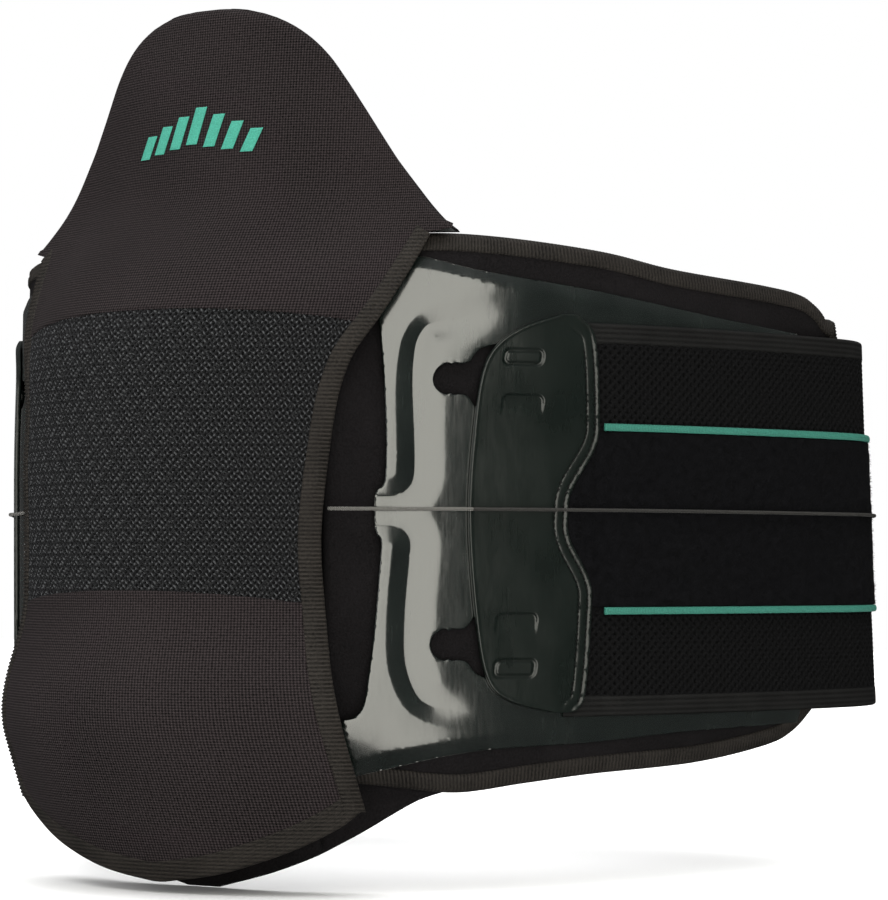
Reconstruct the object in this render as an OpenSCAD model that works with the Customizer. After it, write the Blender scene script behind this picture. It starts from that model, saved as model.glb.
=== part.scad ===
// Lumbar back brace, closed as it is worn. A bell-shaped back panel with a fabric cover, two plastic side
// plates that tighten toward the spine on a cord and pulleys, and belt arms that close at the front.
//
// Every layer lies on the torso line, an outline of five arcs from the spine round the side to the front.
// A place on the brace is (s, z, t): s along the torso line from the spine, plus on the wearer's right,
// z the height above the datum, and t the distance outward from the torso line.

/* [Torso line] */
// Radius of the lumbar arc
back_r = 108; // [100:1:116]
// Radius of the arc behind the flank
flank_r = 280; // [260:5:300]
// Radius of the side arc
side_r = 490; // [450:10:530]
// Radius of the front corner
corner_r = 50; // [46:1:54]
// Radius of the belly arc
belly_r = 200; // [180:5:220]
// Height of the waist plane, where the origin lies, above the datum
waist_z = 25; // [20:1:30]
// Forward slope of the upper back panel
upper_lean = 0.41; // [0.35:0.01:0.45]
// How much that slope eases off toward the top
crest_ease = 0.3; // [0.2:0.05:0.35]
// Forward slope of the tail of the back panel
tail_lean = 0.49; // [0.4:0.01:0.55]

/* [Layers] */
// How far the padding reaches inside the torso line
pad_in = 3; // [2:0.5:4]
// Outer face of the back pad
back_pad_t = 3; // [2.5:0.5:3]
// Outer face of the wing pads
wing_pad_t = 8; // [7:0.5:8]
// Thickness of the plastic plates and the tab
plate_th = 2.5; // [2:0.1:2.6]
// Thickness of the fabric cover
cover_th = 2; // [1.5:0.1:2.2]
// How far the cover bulges at the spine
cover_bulge = 4; // [3.8:0.1:5]
// Thickness of the strap's spacer mesh
mesh_th = 2.5; // [2:0.1:2.6]
// Thickness of the belt mesh where it is sewn under the tab
seam_th = 1; // [0.8:0.1:1.5]
// How far the belt's upper edge leans in toward the waist in front
belt_lean = 7; // [0:0.5:8]
// How far the cover stands out over the hips
hip_bulge = 12.8; // [8:0.1:14]
// How far the cover stands out over the ribs
rib_bulge = 5; // [3:0.5:6]
// Diameter of the tension cord
cord_d = 2; // [1.6:0.1:2]

/* [Belt] */
// Top of the belt arm above the datum
belt_top = 107; // [104:1:110]
// Bottom of the belt arm above the datum
belt_bottom = -60; // [-63:1:-57]
// How far each front half passes the middle
front_overlap = 50; // [40:1:55]
// Height of the tension cord above the datum
cord_z = 27.5; // [25:0.5:30]

/* [Pulleys] */
// Rim radius of a pulley
pulley_r = 9.5; // [8.5:0.1:10]
// Thickness of a pulley
pulley_th = 3.8; // [3:0.1:4]
// Radius of a pulley's pin
pin_r = 2; // [1.5:0.1:2.5]
// Arc length from the spine to the pulleys
pulley_s = 44; // [42:1:46]

/* [Hidden] */

gap = 0.3;
run = 0.05;
pulley_heights = [-10, 55];
arcs = [[38, back_r], [24, flank_r], [18, side_r], [70, corner_r], [30, belly_r]];
front_flat = 67;
hinge_s = 396;
front_end = torso_half() + front_overlap;
plate_t = wing_pad_t + gap;
carrier_t = 5.8;
carrier_th = 2;
pulley_t = 8.9;
pulley_heads = 12.9;
strap_t = plate_t + plate_th + gap;
loop_t = strap_t + mesh_th + gap;
loop_th = 1.5;
cord_t = loop_t + loop_th + gap + cord_d / 2;
closure_rise = mesh_th + 2 * gap + loop_th + 1.8;

// ---- the torso line ----
function arc_len(a) = a[1] * a[0] * PI / 180;
function arcs_len(k) = k == 0 ? 0 : arcs_len(k - 1) + arc_len(arcs[k - 1]);
function torso_half() = arcs_len(len(arcs)) + front_flat;

// [x, y, heading] at arc length s, walked from the spine
function walk(s, k = 0, at = [0, 0], a = 0) =
  k == len(arcs) ? [at.x + s * cos(a), at.y + s * sin(a), a] :
  let (r = arcs[k][1], full = arc_len(arcs[k]), d = min(s, full) / r * 180 / PI)
  let (q = [at.x + r * (sin(a + d) - sin(a)), at.y + r * (cos(a) - cos(a + d))])
  s <= full ? [q.x, q.y, a + d] : walk(s - full, k + 1, q, a + arcs[k][0]);

function clamp01(x) = min(1, max(0, x));
function ease(x) = let (c = clamp01(x)) c * c * (3 - 2 * c);
function mix(a, b, u) = a + (b - a) * u;

// forward lean of the back panel: a straight slope above and below, run in over a parabola
function ramp(h, over) = h <= 0 ? 0 : h < over ? h * h / (2 * over) : h - over / 2;
function lean(z) =
  upper_lean * ramp(z - 40, 60) - crest_ease * ramp(z - 156, 16) + tail_lean * ramp(-34 - z, 40);
function fade(s) = 1 - ease((abs(s) - 60) / 110);

middle_y = walk(torso_half()).y / 2;
function place(s, z, t) =
  let (q = walk(abs(s)), side = sign(s))
  [side * (q.x + t * sin(q.z)), q.y - t * cos(q.z) + lean(z) * fade(s) - middle_y, z - waist_z];

// smooth curve through points [x, y] in rising x, held level past both ends
function slope(p, i) =
  let (a = max(0, i - 1), b = min(len(p) - 1, i + 1))
  (p[b].y - p[a].y) / (p[b].x - p[a].x);
function curve(x, p) =
  x <= p[0].x ? p[0].y :
  x >= p[len(p) - 1].x ? p[len(p) - 1].y :
  let (i = max([for (k = [0 : len(p) - 2]) if (p[k].x <= x) k]), w = p[i + 1].x - p[i].x)
  let (u = (x - p[i].x) / w, m0 = slope(p, i) * w, m1 = slope(p, i + 1) * w)
  (2 * u ^ 3 - 3 * u ^ 2 + 1) * p[i].y + (u ^ 3 - 2 * u ^ 2 + u) * m0
    + (3 * u ^ 2 - 2 * u ^ 3) * p[i + 1].y + (u ^ 3 - u ^ 2) * m1;

// ---- outlines, in s and z ----
bell = [
  [144.8, 132], [149, 124], [154, 117], [160, 109.5], [173, 95], [186, 82.5], [199, 71.5], [212, 62], [222, 54.5], [231, 45],
  [238, 33.5], [242.5, 20], [244.5, 6]
];
tail = [[8, -134], [33, -127.5], [52, -121], [60, -117.6]];
cover_side = [
  [-98, 81], [-60, 79.5], [-20, 77], [15, 75], [50, 78], [88, 82], [108, 91.5], [128, 102], [144, 111]
];
cover_foot = [[0, -130], [23, -125.5], [39, -119.8], [53.5, -113.4], [69, -104.8], [81, -96.5]];
wing_top = [
  [76, 144], [128, 144], [197, 139], [239, 133], [294, 129], [314, 127], [324, 124], [334, 117],
  [344, 100]
];
wing_foot = [
  [76, -110.5], [98, -101], [112, -94.5], [130, -91.5], [164, -88], [197, -85], [251, -82], [294, -76],
  [310, -71], [322, -63], [334, -52], [344, -35]
];
plate_top = [[84, 134], [106, 134], [138, 128], [196, 121], [258, 113], [311, 108]];
plate_foot = [[82, -84], [136, -74], [196, -71], [241, -68], [311, -66]];
plate_back = [
  [-84, 82], [-62, 82], [-53, 91], [-10, 97], [30, 100], [60, 101], [94, 96], [106, 92], [113, 84],
  [134, 84]
];
tab_back = [
  [-58, 172], [-53, 153], [-44, 143], [-19, 138], [23, 135], [60, 137], [84, 140], [96, 146],
  [104, 158], [110, 176]
];
tab_front = [
  [-58, 181], [-50, 186], [-15, 189], [-2, 188], [15, 179], [25, 178], [36, 180], [54, 191], [68, 193],
  [100, 191], [110, 183]
];

tape = 9;
shoulder = 144.8;
function cover_half(z) =
  z < 144 ? curve(z, cover_side) : z < 148 ? mix(111, curve(148, bell), (z - 144) / 4) : curve(z, bell);
function cover_t(s, z) =
  mix(strap_t + 1.1 + cover_bulge * (1 - clamp01(abs(s) / 80) ^ 2), back_pad_t + 3.2, ease((z - 138) / 45))
    + hip_bulge * ease((-8 - z) / 62) + rib_bulge * ease((z - 60) / 45) * (1 - ease((z - 108) / 36));
function mesh_top(s) = 104 + 7 * (1 - (s / 90) ^ 2);
function mesh_foot(s) = -12 + 6 * (1 - (s / 80) ^ 2);
function belt_hi(s) = mix(belt_top, belt_top - 19, ease((s - 420) / 140));
function belt_lo(s) = mix(belt_bottom, belt_bottom + 19, ease((s - 420) / 140));

// ---- builders ----
function value(f, s, z) = is_num(f) ? f : f(s, z);

// closed skin between two offsets, over the grid that at(u, v) -> [s, z] lays out
module skin(at, t_in, t_out, nu, nv) {
  grid = [for (j = [0 : nv]) for (i = [0 : nu]) at(i / nu, j / nv)];
  outer = [for (p = grid) place(p.x, p.y, value(t_out, p.x, p.y))];
  inner = [for (p = grid) place(p.x, p.y, value(t_in, p.x, p.y))];
  row = nu + 1;
  back = len(grid);
  faces = [
    for (j = [0 : nv - 1]) for (i = [0 : nu - 1])
      let (a = j * row + i, b = a + row, c = b + 1, d = a + 1)
      each [[a, b, c], [a, c, d], [back + a, back + c, back + b], [back + a, back + d, back + c]],
    for (i = [0 : nu - 1])
      let (a = i, b = nv * row + i)
      each [
        [a, a + 1, back + a + 1], [a, back + a + 1, back + a],
        [b + 1, b, back + b], [b + 1, back + b, back + b + 1]
      ],
    for (j = [0 : nv - 1])
      let (a = j * row + nu, b = j * row)
      each [
        [a, a + row, back + a + row], [a, back + a + row, back + a],
        [b + row, b, back + b], [b + row, back + b, back + b + row]
      ]
  ];
  polyhedron(concat(outer, inner), faces);
}

// skin between two heights that follow s, from s0 to s1
module ribbon(lo, hi, s0, s1, t_in, t_out, ns, nz = 1) {
  at = function(u, v) let (s = mix(s0, s1, u)) [s, mix(value(lo, s, 0), value(hi, s, 0), v)];
  skin(at, t_in, t_out, ns, nz);
}

// skin between two edges that follow z, from z0 to z1
module sheet(lo, hi, z0, z1, t_in, t_out, ns, nz) {
  at = function(u, v) let (z = mix(z0, z1, v)) [mix(value(lo, 0, z), value(hi, 0, z), u), z];
  skin(at, t_in, t_out, ns, nz);
}

function unit(v) = v / norm(v);
// round tube through points
module tube(points, d, sides = 8) {
  last = len(points) - 1;
  rings = [
    for (i = [0 : last])
      let (dir = unit(points[min(last, i + 1)] - points[max(0, i - 1)]))
      let (side = unit(cross(dir, [0.08, 0.05, 1])), up = cross(side, dir))
      for (k = [0 : sides - 1])
        points[i] + d / 2 * (cos(360 * k / sides) * side + sin(360 * k / sides) * up)
  ];
  faces = concat(
    [for (i = [0 : last - 1]) for (k = [0 : sides - 1])
      let (a = i * sides + k, b = i * sides + (k + 1) % sides)
      each [[a, b + sides, b], [a, a + sides, b + sides]]],
    [[for (k = [0 : sides - 1]) k]],
    [[for (k = [sides - 1 : -1 : 0]) last * sides + k]]
  );
  polyhedron(rings, faces);
}

module outward(s, z, t) {
  translate(place(s, z, t)) rotate([90, 0, walk(s).z]) children();
}

module on_left() {
  mirror([1, 0, 0]) children();
}

// ---- back ----
// right half of the bell's outline above the shoulder, as [s, z]
function bell_rim(top, inset) =
  [for (i = [0 : 17]) let (z = mix(shoulder, top, i / 17)) [curve(z, bell) - inset, z]];

// the curved back, trimmed to an outline whose right half is rim
module bell_sheet(rim, t_in, t_out) {
  right = [for (p = rim) [place(p.x, 0, t_out).x, p.y - waist_z]];
  left = [for (i = [len(right) - 1 : -1 : 0]) [-right[i].x, right[i].y]];
  intersection() {
    sheet(-134, 134, -137, 247, t_in, t_out, 16, 24);
    rotate([90, 0, 0]) linear_extrude(400, center = true) polygon(concat(right, left));
  }
}

module back_pad() {
  color("#1c1b1d") bell_sheet(concat(tail, [[60, shoulder]], bell_rim(244.5, 0)), -pad_in, back_pad_t);
}

module back_panel() {
  half = 38;
  inner = back_pad_t + 0.5;
  color("#141816") bell_sheet(concat([[half, -104], [half, shoulder]], bell_rim(236, 7)), inner, inner + 1.5);
}

module cover_upper() {
  tape_end = 143.4;
  at = function(u, v)
    let (side = 2 * u - 1, seam = mesh_top(side * 90) + 0.4)
    let (z = lookup(v, [[0, seam], [0.25, tape_end], [0.3125, 148], [1, 243]]))
    [side * (cover_half(z) - (z > tape_end ? 0 : tape + gap)), z];
  color("#3a3230") skin(at, function(s, z) cover_t(s, z), function(s, z) cover_t(s, z) + cover_th, 14, 16);
}

module cover_mesh() {
  at = function(u, v)
    let (side = 2 * u - 1, z = mix(mesh_foot(side * 80) + 0.4, mesh_top(side * 90), v))
    [side * (cover_half(z) - tape - gap), z];
  color("#101216") skin(at, function(s, z) cover_t(s, z), function(s, z) cover_t(s, z) + cover_th, 14, 8);
}

module cover_lower() {
  at = function(u, v)
    let (side = 2 * u - 1, z = mix(curve(abs(side) * 72, cover_foot) + tape + gap, mesh_foot(side * 80), v))
    [side * (cover_half(z) - tape - gap), z];
  color("#3a3230") skin(at, function(s, z) cover_t(s, z), function(s, z) cover_t(s, z) + cover_th, 14, 8);
}

module cover_binding() {
  t_in = function(s, z) cover_t(s, z) - 0.2;
  t_out = function(s, z) cover_t(s, z) + cover_th + 0.6;
  color("#2e2a27") {
    for (side = [-1, 1])
      sheet(function(s, z) side * cover_half(z) - (side > 0 ? tape : 0),
        function(s, z) side * cover_half(z) + (side > 0 ? 0 : tape), -98, 143, t_in, t_out, 1, 20);
    ribbon(function(s, z) curve(abs(s), cover_foot), function(s, z) curve(abs(s), cover_foot) + tape,
      -80, 80, t_in, t_out, 14);
  }
}

module back_motif() {
  color("#3fa58a") for (k = [-3 : 3]) {
    z = 193 - abs(k) * 2.5;
    at = function(u, v) [k * 8.5 + mix(-2.6, 2.6, u) + (v - 0.5) * 4, mix(z - 8 + abs(k), z + 8 - abs(k), v)];
    skin(at, function(s, z) cover_t(s, z) + cover_th + gap, function(s, z) cover_t(s, z) + cover_th + 1, 1, 1);
  }
}

// cord turns under the cover: in at the waist, round the far pulley, round the near one, to its anchor
groove_r = pulley_r - 1.4;
lacing_t = pulley_t + pulley_th / 2;
function wrap(side, z, from, to, step) =
  let (hub = place(side * pulley_s, z, lacing_t), turn = walk(pulley_s).z)
  [for (a = [from : step : to]) hub + groove_r * [cos(a) * cos(turn), side * cos(a) * sin(turn), sin(a)]];
function crossing(a, b, n) =
  [for (i = [0 : n]) place(mix(a.x, b.x, i / n), mix(a.y, b.y, i / n), lacing_t)];
module tension_lacing() {
  color("#6a6a68") for (side = [1, -1]) {
    zc = side > 0 ? pulley_heights[1] : pulley_heights[0];
    near = zc - side * groove_r;
    far = zc + side * groove_r;
    tube(concat(
      crossing([side * 74, cord_z], [side * 34, cord_z], 4),
      crossing([side * 28, cord_z + side * 1], [-side * 33, near], 8),
      wrap(-side, zc, -side * 90, -side * 270, -side * 18),
      crossing([-side * 33, far], [side * 33, far], 8),
      wrap(side, zc, side * 90, -side * 90, -side * 18),
      crossing([side * 33, near], [side * 24, near], 1)
    ), cord_d, 6);
  }
}

// ---- one side: plate, pad, carrier and pulleys ----
// keyholes are cut along X, the way the tab's hooks leave them: a round end, a neck and a wide mouth
keyholes = [82, -29];
keyhole_end = [127.5, 6.3];
keyhole_mouth = [150, 13.5];
module keyhole(z) {
  for (hole = [keyhole_end, keyhole_mouth])
    translate(place(hole[0], z, plate_t)) rotate([0, 90, 0])
      cylinder(h = 16, r = hole[1], center = true, $fn = 40);
  from = place(keyhole_end[0], z, plate_t);
  to = place(keyhole_mouth[0], z, plate_t);
  neck = 12.4;
  translate([from.x - 8, from.y, from.z - neck / 2]) cube([to.x - from.x + 16, to.y - from.y, neck]);
}

module plate() {
  at = function(u, v)
    let (s_raw = mix(84, 311, u), z = mix(curve(s_raw, plate_foot), curve(s_raw, plate_top), v))
    [mix(curve(z, plate_back), 311, u), z];
  color("#12241d") difference() {
    skin(at, plate_t, plate_t + plate_th, 20, 14);
    for (z = keyholes)
      keyhole(z);
  }
}

function wing_t(s) = mix(carrier_t - 0.4, wing_pad_t, ease((s - 95) / 17));
wing_edge = 5;
wing_start = 76;
wing_end = 339;
module wing_pad() {
  foot = function(s, z) curve(s, wing_foot) + wing_edge;
  top = function(s, z) curve(s, wing_top) - wing_edge;
  color("#17171a") ribbon(foot, top, wing_start, wing_end, -pad_in, function(s, z) wing_t(s), 21, 12);
}

module wing_binding() {
  t_in = 1 - pad_in;
  t_out = function(s, z) wing_t(s) - 0.2;
  top = function(s, z) curve(s, wing_top);
  foot = function(s, z) curve(s, wing_foot);
  width = wing_edge - gap;
  color("#242224") {
    ribbon(function(s, z) top(s, z) - width, top, wing_start, wing_end, t_in, t_out, 21);
    ribbon(foot, function(s, z) foot(s, z) + width, wing_start, wing_end, t_in, t_out, 21);
    ribbon(foot, top, wing_end + gap, wing_end + wing_edge, t_in, t_out, 1);
  }
}

// C-shaped bracket: a bar behind the pulleys and an arm to each horn of the plate
module pulley_carrier() {
  reach = [[-78, 94], [-63, 94], [-59, 60], [108, 60], [112, 94], [127, 94]];
  color("#20262a") difference() {
    sheet(28, function(s, z) lookup(z, reach), -78, 127, carrier_t, carrier_t + carrier_th, 6, 24);
    for (z = pulley_heights)
      outward(pulley_s, z, carrier_t - 4) cylinder(h = 10, r = pin_r + run, $fn = 40);
  }
}

module pulley_pins() {
  color("#b9bcc0") for (z = pulley_heights) outward(pulley_s, z, carrier_t + 0.2) {
    cylinder(h = pulley_heads - carrier_t, r = pin_r, $fn = 40);
    translate([0, 0, pulley_heads - carrier_t - 0.01]) cylinder(h = 0.8, r = pin_r + 1.6, $fn = 40);
  }
}

module pulley(z) {
  groove = 2.9;
  color("#d8d8d2") outward(pulley_s, z, pulley_t) rotate_extrude($fn = 64) polygon([
    [pin_r + run, 0], [pulley_r, 0], [pulley_r, 0.3], [pulley_r - groove, pulley_th / 2 - 1.2],
    [pulley_r - groove, pulley_th / 2 + 1.2], [pulley_r, pulley_th - 0.3], [pulley_r, pulley_th],
    [pin_r + run, pulley_th]
  ]);
}

module cord_inner() {
  lift = function(s) mix(strap_t + cord_d / 2, strap_t + plate_th + gap + cord_d / 2, ease((s - 118) / 12));
  color("#777773") tube([for (i = [0 : 9]) let (s = mix(77.5, 134, i / 9)) place(s, cord_z, lift(s))], cord_d);
}

// ---- one belt arm, from the tab to the front corner ----
hook_s = 150;
hook_r = 4;
// offset of the belt as its upper edge leans in toward the waist
function lean_in(s, z) = -belt_lean * (z + 50) / 150 * ease((s - 335) / 45);
// the belt mesh is pressed thin where it is sewn under the tab
function belt_th(s) = mix(seam_th, mesh_th, ease((s - 193) / 12));
function tab_t(s) = strap_t + (seam_th + gap) * ease((s - 138) / 39);
module tab() {
  color("#15211c") {
    sheet(function(s, z) curve(z, tab_back), function(s, z) curve(z, tab_front), -58, 110,
      function(s, z) tab_t(s), function(s, z) tab_t(s) + plate_th - 0.5, 8, 20);
    for (z = keyholes)
      intersection() {
        translate(place(hook_s, z, plate_t)) rotate([0, 90, 0])
          cylinder(h = 20, r = hook_r, center = true, $fn = 40);
        ribbon(z - hook_r - 1, z + hook_r + 1, hook_s - 9, hook_s + 9, plate_t + 0.2, strap_t + 1, 2);
      }
  }
}

arm_start = 177;
loop_start = 195;
module strap_mesh() {
  color("#111215") ribbon(belt_bottom + tape, belt_top - tape, arm_start, hinge_s - gap,
    function(s, z) strap_t + lean_in(s, z), function(s, z) strap_t + belt_th(s) + lean_in(s, z), 22);
}

module strap_binding() {
  color("#2a2725") for (z = [belt_bottom, belt_top - tape + gap])
    ribbon(z, z + tape - gap, arm_start, hinge_s - gap, function(s, z) strap_t + lean_in(s, z),
      function(s, z) strap_t + belt_th(s) + lean_in(s, z), 22);
}

loop_lo = -13.5;
loop_hi = 61;
module loop_band() {
  color("#0c0c0e") ribbon(loop_lo, loop_hi, loop_start, hinge_s - gap, function(s, z) loop_t + lean_in(s, z),
    function(s, z) loop_t + loop_th + lean_in(s, z), 22);
}

pipe_h = 3;
module piping() {
  color("#3c8f78") for (z = [loop_lo - gap - pipe_h, loop_hi + gap])
    ribbon(z, z + pipe_h, loop_start, hinge_s - gap, function(s, z) loop_t + lean_in(s, z),
      function(s, z) loop_t + 2.2 + lean_in(s, z), 22);
}

module cord_outer() {
  route = [
    for (i = [0 : 26])
      let (s = mix(137, hinge_s - gap, i / 26))
      place(s, cord_z, cord_t + lean_in(s, cord_z))
  ];
  color("#5c5b58") tube(route, cord_d);
}

// ---- one front half, from the front corner past the middle; the right one lies outside the left one ----
function rise(s, z, up) = up * ease((s - 430) / 70) + lean_in(s, z);
module front_mesh(up) {
  foot = function(s, z) belt_lo(s) + tape;
  top = function(s, z) belt_hi(s) - tape;
  color("#111215") ribbon(foot, top, hinge_s + gap, front_end, function(s, z) strap_t + rise(s, z, up),
    function(s, z) strap_t + mesh_th + rise(s, z, up), 24);
}

module front_binding(up) {
  t_in = function(s, z) strap_t + rise(s, z, up);
  t_out = function(s, z) strap_t + mesh_th + rise(s, z, up);
  foot = function(s, z) belt_lo(s);
  top = function(s, z) belt_hi(s) - tape + gap;
  color("#2a2725") for (low = [foot, top])
    ribbon(low, function(s, z) low(s, z) + tape - gap, hinge_s + gap, front_end, t_in, t_out, 24);
}

module front_loop(up) {
  color("#0c0c0e") ribbon(loop_lo, loop_hi, hinge_s + gap, front_end - 6,
    function(s, z) loop_t + rise(s, z, up), function(s, z) loop_t + loop_th + rise(s, z, up), 24);
}

module front_piping(up) {
  color("#3c8f78") for (z = [loop_lo - gap - pipe_h, loop_hi + gap])
    ribbon(z, z + pipe_h, hinge_s + gap, front_end - 6, function(s, z) loop_t + rise(s, z, up),
      function(s, z) loop_t + 2.2 + rise(s, z, up), 24);
}

handle_s = [414, 464];
module cord_front() {
  route = [
    for (i = [0 : 6])
      let (s = mix(hinge_s + gap, handle_s[0] - gap, i / 6))
      place(s, cord_z, cord_t + rise(s, cord_z, 0))
  ];
  color("#5c5b58") tube(route, cord_d);
}

module closure_hook() {
  color("#1a1a1c") ribbon(-30, 77, torso_half() - 45, front_end - 5,
    function(s, z) strap_t + rise(s, z, closure_rise) - 1.3,
    function(s, z) strap_t + rise(s, z, closure_rise) - gap, 4);
}

handle_t = loop_t + loop_th + 3.6;
function handle_half(s) = 17 * sqrt(max(0.12, 1 - ((s - mix(handle_s[0], handle_s[1], 0.5)) / 27) ^ 4));
module pull_handle() {
  color("#1b2622") ribbon(function(s, z) cord_z - handle_half(s), function(s, z) cord_z + handle_half(s),
    handle_s[0], handle_s[1], function(s, z) handle_t + rise(s, z, 0),
    function(s, z) handle_t + 3 + rise(s, z, 0), 12);
}

module handle_hook() {
  color("#202022") ribbon(cord_z - 12, cord_z + 12, handle_s[0] + 6, handle_s[1] - 6,
    function(s, z) handle_t - 1.3 + rise(s, z, 0), function(s, z) handle_t - gap + rise(s, z, 0), 8);
}

back_pad();
back_panel();
cover_upper();
cover_mesh();
cover_lower();
cover_binding();
back_motif();
tension_lacing();
plate();  // right_plate
wing_pad();  // right_wing_pad
wing_binding();  // right_wing_binding
pulley_carrier();  // right_pulley_carrier
pulley_pins();  // right_pulley_pins
cord_inner();  // right_cord_inner
pulley(pulley_heights[1]);  // right_pulley_upper
pulley(pulley_heights[0]);  // right_pulley_lower
tab();  // right_tab
strap_mesh();  // right_strap_mesh
loop_band();  // right_loop
piping();  // right_piping
strap_binding();  // right_strap_binding
cord_outer();  // right_cord_outer
front_mesh(closure_rise);  // right_front_mesh
front_loop(closure_rise);  // right_front_loop
front_piping(closure_rise);  // right_front_piping
front_binding(closure_rise);  // right_front_binding
cord_front();  // right_cord_front
closure_hook();  // right_closure_hook
pull_handle();  // right_pull_handle
handle_hook();  // right_handle_hook
on_left() plate();  // left_plate
on_left() wing_pad();  // left_wing_pad
on_left() wing_binding();  // left_wing_binding
on_left() pulley_carrier();  // left_pulley_carrier
on_left() pulley_pins();  // left_pulley_pins
on_left() cord_inner();  // left_cord_inner
on_left() pulley(pulley_heights[1]);  // left_pulley_upper
on_left() pulley(pulley_heights[0]);  // left_pulley_lower
on_left() tab();  // left_tab
on_left() strap_mesh();  // left_strap_mesh
on_left() loop_band();  // left_loop
on_left() piping();  // left_piping
on_left() strap_binding();  // left_strap_binding
on_left() cord_outer();  // left_cord_outer
on_left() front_mesh(0);  // left_front_mesh
on_left() front_loop(0);  // left_front_loop
on_left() front_piping(0);  // left_front_piping
on_left() front_binding(0);  // left_front_binding
on_left() cord_front();  // left_cord_front
on_left() pull_handle();  // left_pull_handle
on_left() handle_hook();  // left_handle_hook
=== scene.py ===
"""Looks of the lumbar back brace: its fabrics, mouldings, cord, materials, light and camera.

Every surface lies on the torso line of the CAD model. A place on the brace is (s, z, t) in millimetres: s is
how far along the torso line it is from the spine, z the height above the datum, and t the distance outward
from that line. side is 1 on the wearer's right and -1 on the left.
"""

import math

import bpy
import numpy as np
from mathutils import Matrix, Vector, geometry


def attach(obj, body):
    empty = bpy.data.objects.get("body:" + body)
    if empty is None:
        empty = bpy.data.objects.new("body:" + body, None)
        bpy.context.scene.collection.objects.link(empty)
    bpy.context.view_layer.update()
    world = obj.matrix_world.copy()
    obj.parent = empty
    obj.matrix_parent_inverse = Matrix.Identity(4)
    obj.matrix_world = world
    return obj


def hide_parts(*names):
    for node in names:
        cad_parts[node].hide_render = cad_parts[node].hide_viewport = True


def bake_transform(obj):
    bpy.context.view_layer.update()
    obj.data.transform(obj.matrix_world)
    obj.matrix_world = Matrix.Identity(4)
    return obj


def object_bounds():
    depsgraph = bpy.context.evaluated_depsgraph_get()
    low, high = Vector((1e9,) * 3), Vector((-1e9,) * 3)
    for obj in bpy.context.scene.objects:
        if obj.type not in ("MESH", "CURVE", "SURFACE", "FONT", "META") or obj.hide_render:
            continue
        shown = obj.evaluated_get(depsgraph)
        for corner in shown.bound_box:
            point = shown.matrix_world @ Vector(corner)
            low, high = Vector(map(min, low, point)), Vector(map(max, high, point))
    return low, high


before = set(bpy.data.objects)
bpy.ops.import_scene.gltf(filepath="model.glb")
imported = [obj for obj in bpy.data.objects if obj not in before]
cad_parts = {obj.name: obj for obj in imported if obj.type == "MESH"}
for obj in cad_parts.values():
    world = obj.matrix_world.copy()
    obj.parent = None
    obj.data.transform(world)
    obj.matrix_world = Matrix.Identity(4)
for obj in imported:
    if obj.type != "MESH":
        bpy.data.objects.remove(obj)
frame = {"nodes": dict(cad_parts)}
cad_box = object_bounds()
MM = 0.001
SIDES = {"right": 1, "left": -1}

# ---- layers and heights, in mm, as the CAD model has them ----
ARCS = [(38, 108.0), (24, 280.0), (18, 490.0), (70, 50.0), (30, 200.0)]
FRONT_FLAT = 67.0
WAIST_Z = 25.0
PAD_IN = -3.0
PAD_T = 3.0
WING_T = 8.0
PLATE_T = 8.3
PLATE_TH = 2.5
STRAP_T = 11.1
MESH_TH = 2.5
COVER_TH = 2.0
COVER_BULGE = 4.0
HIP_BULGE = 12.8
RIB_BULGE = 5.0
SEAM_TH = 1.0
GAP = 0.3
TAB_TH = PLATE_TH - 0.5
LOOP_T = STRAP_T + MESH_TH + GAP
LOOP_TH = 1.5
CORD_R = 1.0
CORD_T = LOOP_T + LOOP_TH + GAP + CORD_R
CORD_THIN = 0.75
CORD_Z = 27.5
CLOSURE_RISE = 6.4
TAPE = 9.0
SHOULDER = 144.8
ARM_START = 177.0
LOOP_START = 195.0
HINGE_S = 396.0
LOOP_LO, LOOP_HI = -13.5, 61.0
HANDLE_S = (414.0, 464.0)
HANDLE_T = LOOP_T + LOOP_TH + 3.6
KEYHOLES = (82.0, -29.0)


# ---- the torso line ----
def clamp01(x):
    return np.clip(x, 0.0, 1.0)


def ease(x):
    c = clamp01(x)
    return c * c * (3 - 2 * c)


def mix(a, b, u):
    return a + (b - a) * u


def walk(s):
    """x, y and heading at arc length s from the spine"""
    left = np.abs(np.asarray(s, float))
    x, y, a = np.zeros_like(left), np.zeros_like(left), np.zeros_like(left)
    for turn, radius in ARCS:
        d = np.minimum(left, radius * math.radians(turn)) / radius
        x += radius * (np.sin(a + d) - np.sin(a))
        y += radius * (np.cos(a) - np.cos(a + d))
        a += d
        left = left - d * radius
    return x + left * np.cos(a), y + left * np.sin(a), a


TORSO_HALF = sum(radius * math.radians(turn) for turn, radius in ARCS) + FRONT_FLAT
MIDDLE_Y = float(walk(TORSO_HALF)[1]) / 2
FRONT_END = TORSO_HALF + 50.0


def ramp(h, over):
    return np.where(h <= 0, 0, np.where(h < over, h * h / (2 * over), h - over / 2))


def lean(z):
    return 0.41 * ramp(z - 40, 60) - 0.3 * ramp(z - 156, 16) + 0.49 * ramp(-34 - z, 40)


def place(s, z, t, side=1):
    """points in metres, in the CAD frame"""
    s, z, t = np.broadcast_arrays(np.asarray(s, float), z, t)
    x, y, a = walk(s)
    fade = 1 - ease((np.abs(s) - 60) / 110)
    return MM * np.stack([
        side * np.sign(s) * (x + t * np.sin(a)),
        y - t * np.cos(a) + lean(z) * fade - MIDDLE_Y,
        z - WAIST_Z,
    ], axis=-1)


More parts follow.
